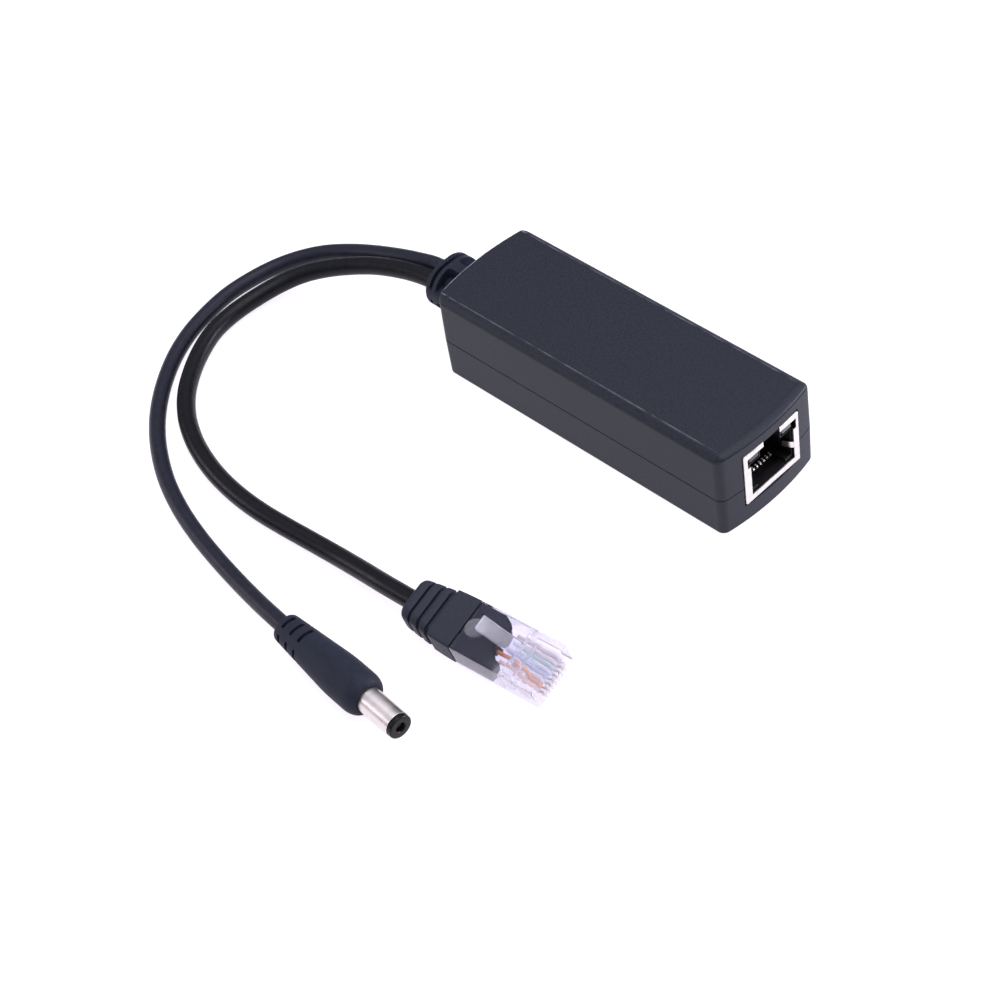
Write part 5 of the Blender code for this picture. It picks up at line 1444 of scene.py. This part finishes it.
def blade_slots():
    """Eight narrow slots, from the front edge back over the conductors."""
    slots = bmesh.new()
    for index in range(8):
        y = blade_y(index)
        box((15.6 * MM, y - 0.3 * MM, -0.4 * MM), (PLUG_LENGTH + 0.4 * MM, y + 0.3 * MM, 2.75 * MM),
            shape=slots)
    return slots


print("blades from", round(blade_y(0) / MM, 2), "to", round(blade_y(7) / MM, 2), "mm")

# %% Clear body
SIDE_WALL = 0.3 * MM
MILKY_FROM = 10.4 * MM
MILKY_TO = 12.2 * MM


def plug_shell():
    """Clear body: rounded block, boss, lever, hollow rear, wire slot and blade slots."""
    half = PLUG_WIDTH / 2
    shape = box((0.15 * MM, -half, 0.0), (PLUG_LENGTH, half, PLUG_HEIGHT), 0.4 * MM, 4)
    shape = carve(shape, boss(), "UNION")
    # the latch lever, then its wider root
    shape = carve(shape, prism(lever(1.0 * MM, -0.4 * MM, 12.4 * MM), -1.6 * MM, 1.6 * MM, "Y",
                               0.15 * MM), "UNION")
    shape = carve(shape, prism(lever(1.8 * MM, 0.2 * MM, 4.2 * MM), -3.0 * MM, 3.0 * MM, "Y",
                               0.15 * MM), "UNION")
    # the hollow for the overmoulding, a step in front of it, and the slot for the conductors
    cavity = half - SIDE_WALL
    shape = carve(shape, box((-MM, -cavity, 0.5 * MM), (12.4 * MM, cavity, PLUG_HEIGHT - 0.6 * MM),
                             0.25 * MM, 2))
    shape = carve(shape, box((12.0 * MM, -4.6 * MM, 0.9 * MM),
                             (14.6 * MM, 4.6 * MM, PLUG_HEIGHT - 1.0 * MM), 0.25 * MM, 2))
    shape = carve(shape, box((13.6 * MM, -4.3 * MM, 2.6 * MM),
                             (PLUG_LENGTH - 1.0 * MM, 4.3 * MM, 3.9 * MM)))
    return slice_across(carve(shape, blade_slots()), MILKY_FROM, MILKY_TO)


def milkiness(place):
    """How much of its light the clear plastic scatters: the lever and the solid front most."""
    if place.z > PLUG_HEIGHT + 0.02 * MM and place.x < 13.0 * MM:
        if place.z < PLUG_HEIGHT + 0.95 * MM:
            return 0.13
        return 0.26 - 0.16 * min(1.0, max(0.0, (place.x / MM - 5.5) / 6.5))
    return 0.13 * min(1.0, max(0.0, (place.x - MILKY_FROM) / (MILKY_TO - MILKY_FROM)))


piece("plug_clear_body", plug_shell(), POLYCARBONATE, ["plug_body"], PLUG_FRAME,
      milkiness)

# %% [markdown]
# ## Overmoulding
# The black part starts at the cable with three soft rings, runs on as a flat sleeve, and reaches
# into the clear body, where the plastic stopped flowing at a ragged front. Its section changes from
# round to square, so it is a loft of rounded rectangles along the plug. The tongue is a second
# loft whose front edge follows listed points, because a straight edge would look machined.

# %% One ring of the overmoulding


def rounded_section(along, width, height, radius, lift=0.0, steps=8):
    """One ring of the overmoulding: flat sides with rounded corners."""
    ring = []
    for quarter, (side, level) in enumerate([(1, 1), (-1, 1), (-1, -1), (1, -1)]):
        for step in range(steps):
            angle = math.pi / 2 * (quarter + step / (steps - 1))
            ring.append(Vector((along, side * (width / 2 - radius) + radius * math.cos(angle),
                                lift + height / 2 + level * (height / 2 - radius)
                                + radius * math.sin(angle))))
    return ring


print("points in a ring", len(rounded_section(0.0, 4.0, 3.0, 1.0)))

# %% Rings and sleeve
BOOT_END_WIDTH = 9.2 * MM
RING_PITCH = 2.4 * MM
GROOVES = (0.6 * MM, 0.8 * MM, 1.0 * MM)


def boot_sections():
    """(along, trim in millimetres) stations: rounded end, three grooves, sleeve, front edge."""
    sections = [(-BOOT_LENGTH, 1.2), (-BOOT_LENGTH + 0.06 * MM, 0.8),
                (-BOOT_LENGTH + 0.25 * MM, 0.4), (-BOOT_LENGTH + 0.55 * MM, 0.12),
                (-BOOT_LENGTH + 0.9 * MM, 0.0)]
    for index, groove in enumerate(GROOVES):
        at = -BOOT_LENGTH + (index + 1) * RING_PITCH - groove / 2
        end = at + groove
        sections += [(at - 0.20 * MM, 0.0), (at - 0.06 * MM, 0.08), (at, 0.24),
                     (at + 0.03 * MM, 1.5), (end - 0.03 * MM, 1.5), (end, 0.16),
                     (end + 0.05 * MM, 0.05), (end + 0.14 * MM, 0.0)]
    sleeve = sections[-1][0] - 0.01 * MM
    sections += [(-BOOT_LENGTH * share, 0.0) for share in (0.36, 0.24, 0.12, 0.02)]
    return sections + [(-0.05 * MM, 0.03), (0.0, 0.1)], sleeve


def boot_ring(along, trim, sleeve):
    """One ring of the boot: it turns from a round section at the cable to the body's own."""
    share = 1 - (along / -BOOT_LENGTH) ** 1.6
    width = BOOT_END_WIDTH + (PLUG_WIDTH - BOOT_END_WIDTH) * share - trim * MM
    height = BOOT_END_HEIGHT + (PLUG_HEIGHT - BOOT_END_HEIGHT) * share - trim * MM
    corner = 0.5 * MM if along > sleeve else (1.3 + 1.0 * (1 - share)) * MM - trim * MM / 2
    return rounded_section(along, width, height, corner, trim * MM / 2)


print("boot stations", len(boot_sections()[0]))

# %% Ragged tongue


def tongue():
    """The part inside the clear body, with the ragged front where the plastic stopped."""
    side = PLUG_WIDTH / 2 - 0.36 * MM
    low, high = 0.58 * MM, PLUG_HEIGHT - 0.68 * MM
    flow = [(-1.0, 10.9), (-0.66, 11.3), (-0.60, 9.9), (-0.55, 9.6), (-0.50, 8.9), (-0.44, 9.1),
            (-0.36, 8.3), (-0.30, 8.6), (-0.22, 7.6), (-0.14, 8.5), (-0.05, 8.1), (0.08, 8.9),
            (0.2, 8.5), (0.35, 9.2), (0.55, 9.0), (0.68, 8.9), (0.82, 8.1), (0.93, 7.0), (1.0, 6.2)]
    front = [(along * MM, share * side) for share, along in flow]
    rings = []
    for height, cut in ((low, 1.6 * MM), (high - 0.3 * MM, 0.25 * MM), (high, 0.0)):
        rings.append([Vector((-MM, -side, height)),
                      *(Vector((x - cut, y, height)) for x, y in front),
                      Vector((-MM, side, height))])
    return loft(rings)


trial = tongue()
print("the tongue reaches", round(max(v.co.x for v in trial.verts) / MM, 1), "mm into the body")
trial.free()

# %% Overmoulding


def overmoulding():
    """Ringed rear, flat sleeve with crisp corners, and the tongue with its ragged flow front."""
    sections, sleeve = boot_sections()
    shape = loft([boot_ring(along, trim, sleeve) for along, trim in sections])
    return carve(shape, tongue(), "UNION")


piece("plug_overmoulding", overmoulding(), BOOT_PVC, ["plug_boot"], PLUG_FRAME)

# %% [markdown]
# ## Blades and conductors
# Eight stamped blades sit side by side, 1.02 mm apart, each a flat outline extruded to 0.3 mm. A
# conductor ends over each. Behind them the conductors fan out as they were pushed in by hand, the
# orange one on top. Each is a round tube along its own points, with texture coordinates round and
# along it, so that its stripe can follow it through every bend.

# %% A tube with texture coordinates


def tube(points, radius, spacing, sides=14):
    """A round tube along a smooth route; U goes round it from 0 to 1, V along it in millimetres."""
    route, length = smooth_route(points, spacing)
    side = (route[1] - route[0]).cross(Vector((0, 0, 1))).normalized()
    rings, place = [], {}
    for index, centre in enumerate(route):
        along = route[min(index + 1, len(route) - 1)] - route[max(index - 1, 0)]
        side = (side - along * side.dot(along) / along.length_squared).normalized()
        rise = along.cross(side).normalized()
        turns = [2 * math.pi * k / sides for k in range(sides)]
        rings.append([centre + radius * (math.cos(t) * side + math.sin(t) * rise) for t in turns])
    shape = loft(rings)
    for index, ring in enumerate(rings):
        for k, point in enumerate(ring):
            place[tuple(round(c, 9) for c in point)] = (k, index)
    layer = shape.loops.layers.uv.new("UVMap")
    for face in shape.faces:
        spots = [place[tuple(round(c, 9) for c in loop.vert.co)] for loop in face.loops]
        wraps = len(spots) == 4 and {k for k, row in spots} == {0, sides - 1}
        for loop, (k, row) in zip(face.loops, spots):
            u = sides if wraps and k == 0 else k
            loop[layer].uv = (u / sides, row / (len(rings) - 1) * length / MM)
    return shape


trial = tube([(0, 0, 0), (1, 0, 0), (2, 1, 0)], 0.1, 0.5, 8)
print("a short tube has", len(trial.faces), "faces and the layer", trial.loops.layers.uv[0].name)
trial.free()

# %% Outline of a blade


def blade():
    """Side outline of a stamped contact blade."""
    front = PLUG_LENGTH - 0.2 * MM
    rear = front - 4.6 * MM
    top = 2.45 * MM
    return [(rear, 0.5 * MM), (front - 0.46 * MM, 0.5 * MM), (front, 0.96 * MM),
            (front, top - 0.92 * MM), (front - 0.92 * MM, top - 0.92 * MM),
            (front - 0.92 * MM, top), (rear, top)]


print("points on a blade", len(blade()))

# %% Blades and conductors
BLADE_HALF = 0.15 * MM
CONDUCTOR = 0.42 * MM
# where each conductor leaves the overmoulding, before it straightens over its blade
FAN = [[(9.9, -2.75, 4.2), (12.4, -2.6, 3.9), (14.9, -2.95, 3.35)],
       [(8.4, -1.25, 4.4), (12.0, -1.25, 4.2), (15.0, -1.65, 3.4)],
       [(10.6, -0.55, 2.6), (12.6, -0.75, 2.8), (14.9, -1.3, 3.15)],
       [(9.6, 0.25, 4.3), (12.4, 0.0, 4.0), (14.9, -0.4, 3.3)],
       [(10.6, 0.9, 2.6), (12.6, 0.8, 2.9), (14.9, 0.6, 3.2)],
       [(10.0, 1.9, 4.2), (12.4, 1.7, 3.9), (14.9, 1.55, 3.3)],
       [(10.8, 2.6, 2.7), (12.6, 2.5, 2.9), (14.9, 2.5, 3.2)],
       [(9.8, 3.6, 4.0), (12.4, 3.5, 3.7), (14.9, 3.5, 3.3)]]
for index in range(8):
    y = blade_y(index)
    piece(f"plug_blade_{index + 1}", prism(blade(), y - BLADE_HALF, y + BLADE_HALF, "Y"), BLADE,
          [f"plug_contact_{index + 1}"], PLUG_FRAME)
    route = [Vector(spot) * MM for spot in FAN[index]]
    route += [Vector((17.6 * MM, y, 3.25 * MM)), Vector((19.3 * MM, y, 3.25 * MM))]
    piece(f"plug_conductor_{index + 1}", tube(route, CONDUCTOR, 0.3 * MM), WIRES[index],
          [f"plug_wire_{index + 1}"], PLUG_FRAME)
print("clear plug built")

# %% [markdown]
# ## The clear plug's parts
# The clear plug's overmoulding, body, blades and conductors are gathered in one list.

# %% The clear plug's parts
PIECE = bpy.data.objects
plug_parts = [PIECE["plug_overmoulding"], PIECE["plug_clear_body"]]
plug_parts += [PIECE[f"plug_blade_{i}"] for i in range(1, 9)]
plug_parts += [PIECE[f"plug_conductor_{i}"] for i in range(1, 9)]

# %% [markdown]
# ## Inside the housing
# The board and its parts are sealed in, and show only if the shells are taken off. Their solids are
# already the right shape, so they stay and only get materials: green solder mask over woven glass,
# black epoxy moulding compound, sintered ferrite with its dry grey surface, yellow tape over the
# winding, and shrink sleeve on the capacitors. The tape shows as bands 2.4 mm wide.

# %% Tape over a winding


def wound_tape():
    """Polyester tape over the winding: each turn shows as a faint band."""
    made, tree, shader = principled("polyester tape over a winding", "#c9a227", 0.32)
    where = add_node(tree, "ShaderNodeTexCoord").outputs["Object"]
    # a wave node repeats every 0.314 m at scale 1, and every 2.4 mm at this one
    turns = add_node(tree, "ShaderNodeTexWave",
                     inputs={"Scale": 1000 / 1.2 / 6.3, "Distortion": 0.6},
                     links={"Vector": where}, bands_direction="Z").outputs["Fac"]
    tree.links.new(blend(tree, turns, "#b98f1c", "#d6b036"), shader.inputs["Base Color"])
    tree.links.new(spread(tree, turns, 0.26, 0.40, 0.0, 1.0), shader.inputs["Roughness"])
    bump(tree, shader, turns, 0.02)
    return made


TAPE = wound_tape()
print(TAPE.name, "nodes", len(TAPE.node_tree.nodes))

# %% Finishes of the board and its parts
# Solder mask: glossy green that follows the weave of the glass cloth, about 0.6 mm a thread
BOARD = textured("green solder mask over glass cloth", ("#133622", "#1b4a31"), (0.34, 0.46), 0.6,
                 0.01)[0]
# Epoxy with silica in it: an even, fine and matte black
EPOXY = textured("epoxy moulding compound", ("#101010", "#191919"), (0.44, 0.56), 0.3, 0.006)[0]
# Pressed and sintered powder: dry, dark grey and slightly rough
FERRITE = textured("sintered ferrite", ("#242426", "#343437"), (0.52, 0.68), 0.3, 0.012)[0]
# Shrunk PVC film: smooth and glossy, with slow waves from the can under it
SLEEVE = textured("pvc shrink sleeve", ("#121317", "#1a1b20"), (0.24, 0.36), 1.5, 0.01)[0]
print(BOARD.name, EPOXY.name, FERRITE.name, SLEEVE.name, sep="; ")

# %% Inner pieces
INNER = {"circuit_board": BOARD, "lan_transformer": EPOXY, "bridge_rectifier_a": EPOXY,
         "bridge_rectifier_b": EPOXY, "controller_chip": EPOXY, "output_diode": EPOXY,
         "transformer_core": FERRITE, "transformer_winding": TAPE, "input_capacitor": SLEEVE,
         "output_capacitor": SLEEVE, "dc_lead_positive": CABLE, "dc_lead_negative": CABLE}
INNER.update({f"data_lead_{i + 1}": WIRES[i] for i in range(8)})
for name, finish in INNER.items():
    slots = NODES[name].data.materials
    if slots:
        slots[0] = finish
    else:
        slots.append(finish)
print("inner pieces", len(INNER))

# %% [markdown]
# ## Table
# The photograph's background is pure white, with hardly a shadow. A white floor alone would turn
# grey beside a dark object. An opal light table, lit from below, stays white: half of the floor's
# brightness comes from its own emission, and the rest is soft light on it, with faint shadows.

# %% Light table


def make_floor():
    """A plain white light table: half of its brightness comes from under its opal top."""
    shape = bmesh.new()
    bmesh.ops.create_grid(shape, x_segments=1, y_segments=1, size=3.0)
    mesh = bpy.data.meshes.new("table")
    shape.to_mesh(mesh)
    shape.free()
    finish, tree, shader = principled("opal light table", "#a2a2a2", 0.9, Specular_IOR_Level=0.1)
    shader.inputs["Emission Color"].default_value = srgb("#faf5ff")
    shader.inputs["Emission Strength"].default_value = 0.90
    mesh.materials.append(finish)
    floor = bpy.data.objects.new("table", mesh)
    floor.location.z = -0.02 * MM
    bpy.context.scene.collection.objects.link(floor)


make_floor()
print("table built")

# %% [markdown]
# ## Light
# The object was shot in a light tent: soft light from all round, brighter overhead, and darker at
# the height of the lamps' stands, which is why the upright walls are not pale. The world's strength
# therefore follows the height of each direction. One large panel overhead shapes the upper edges,
# and two smaller ones at the sides give the walls their slow change from end to end.

# %% Panels


def panel(name, place, target, size, power, colour="#ffffff"):
    """A soft rectangular light aimed at a point."""
    light = bpy.data.lights.new(name, "AREA")
    light.shape = "RECTANGLE"
    light.size, light.size_y = size
    light.energy = power
    light.color = srgb(colour)[:3]
    made = bpy.data.objects.new(name, light)
    made.location = place
    made.rotation_euler = (Vector(target) - Vector(place)).to_track_quat("-Z", "Y").to_euler()
    bpy.context.scene.collection.objects.link(made)


panel("overhead", (0.05, 0.08, 0.75), (0.0, -0.03, 0.0), (0.7, 0.7), 3.8)
panel("left side", (-0.50, -0.40, 0.22), (-0.03, -0.03, 0.01), (0.3, 0.2), 0.9, "#fff8fc")
panel("socket side", (0.34, 0.52, 0.14), (0.04, 0.0, 0.01), (0.3, 0.15), 4.8, "#fbf4ff")

# %% World


def make_world(low, high):
    """Light from all round: dim at the height of the lamps' stands, bright overhead."""
    world = bpy.data.worlds.new("light tent")
    world.use_nodes = True
    tree = world.node_tree
    back = tree.nodes["Background"]
    back.inputs["Color"].default_value = srgb("#f4f6ff")
    way = add_node(tree, "ShaderNodeTexCoord").outputs["Generated"]
    height = add_node(tree, "ShaderNodeSeparateXYZ", links={"Vector": way}).outputs["Z"]
    tree.links.new(spread(tree, height, low, high, 0.45, 0.68), back.inputs["Strength"])
    bpy.context.scene.world = world


make_world(low=0.30, high=0.76)
bpy.context.scene.view_settings.view_transform = "Standard"
print("world", bpy.context.scene.world.name)
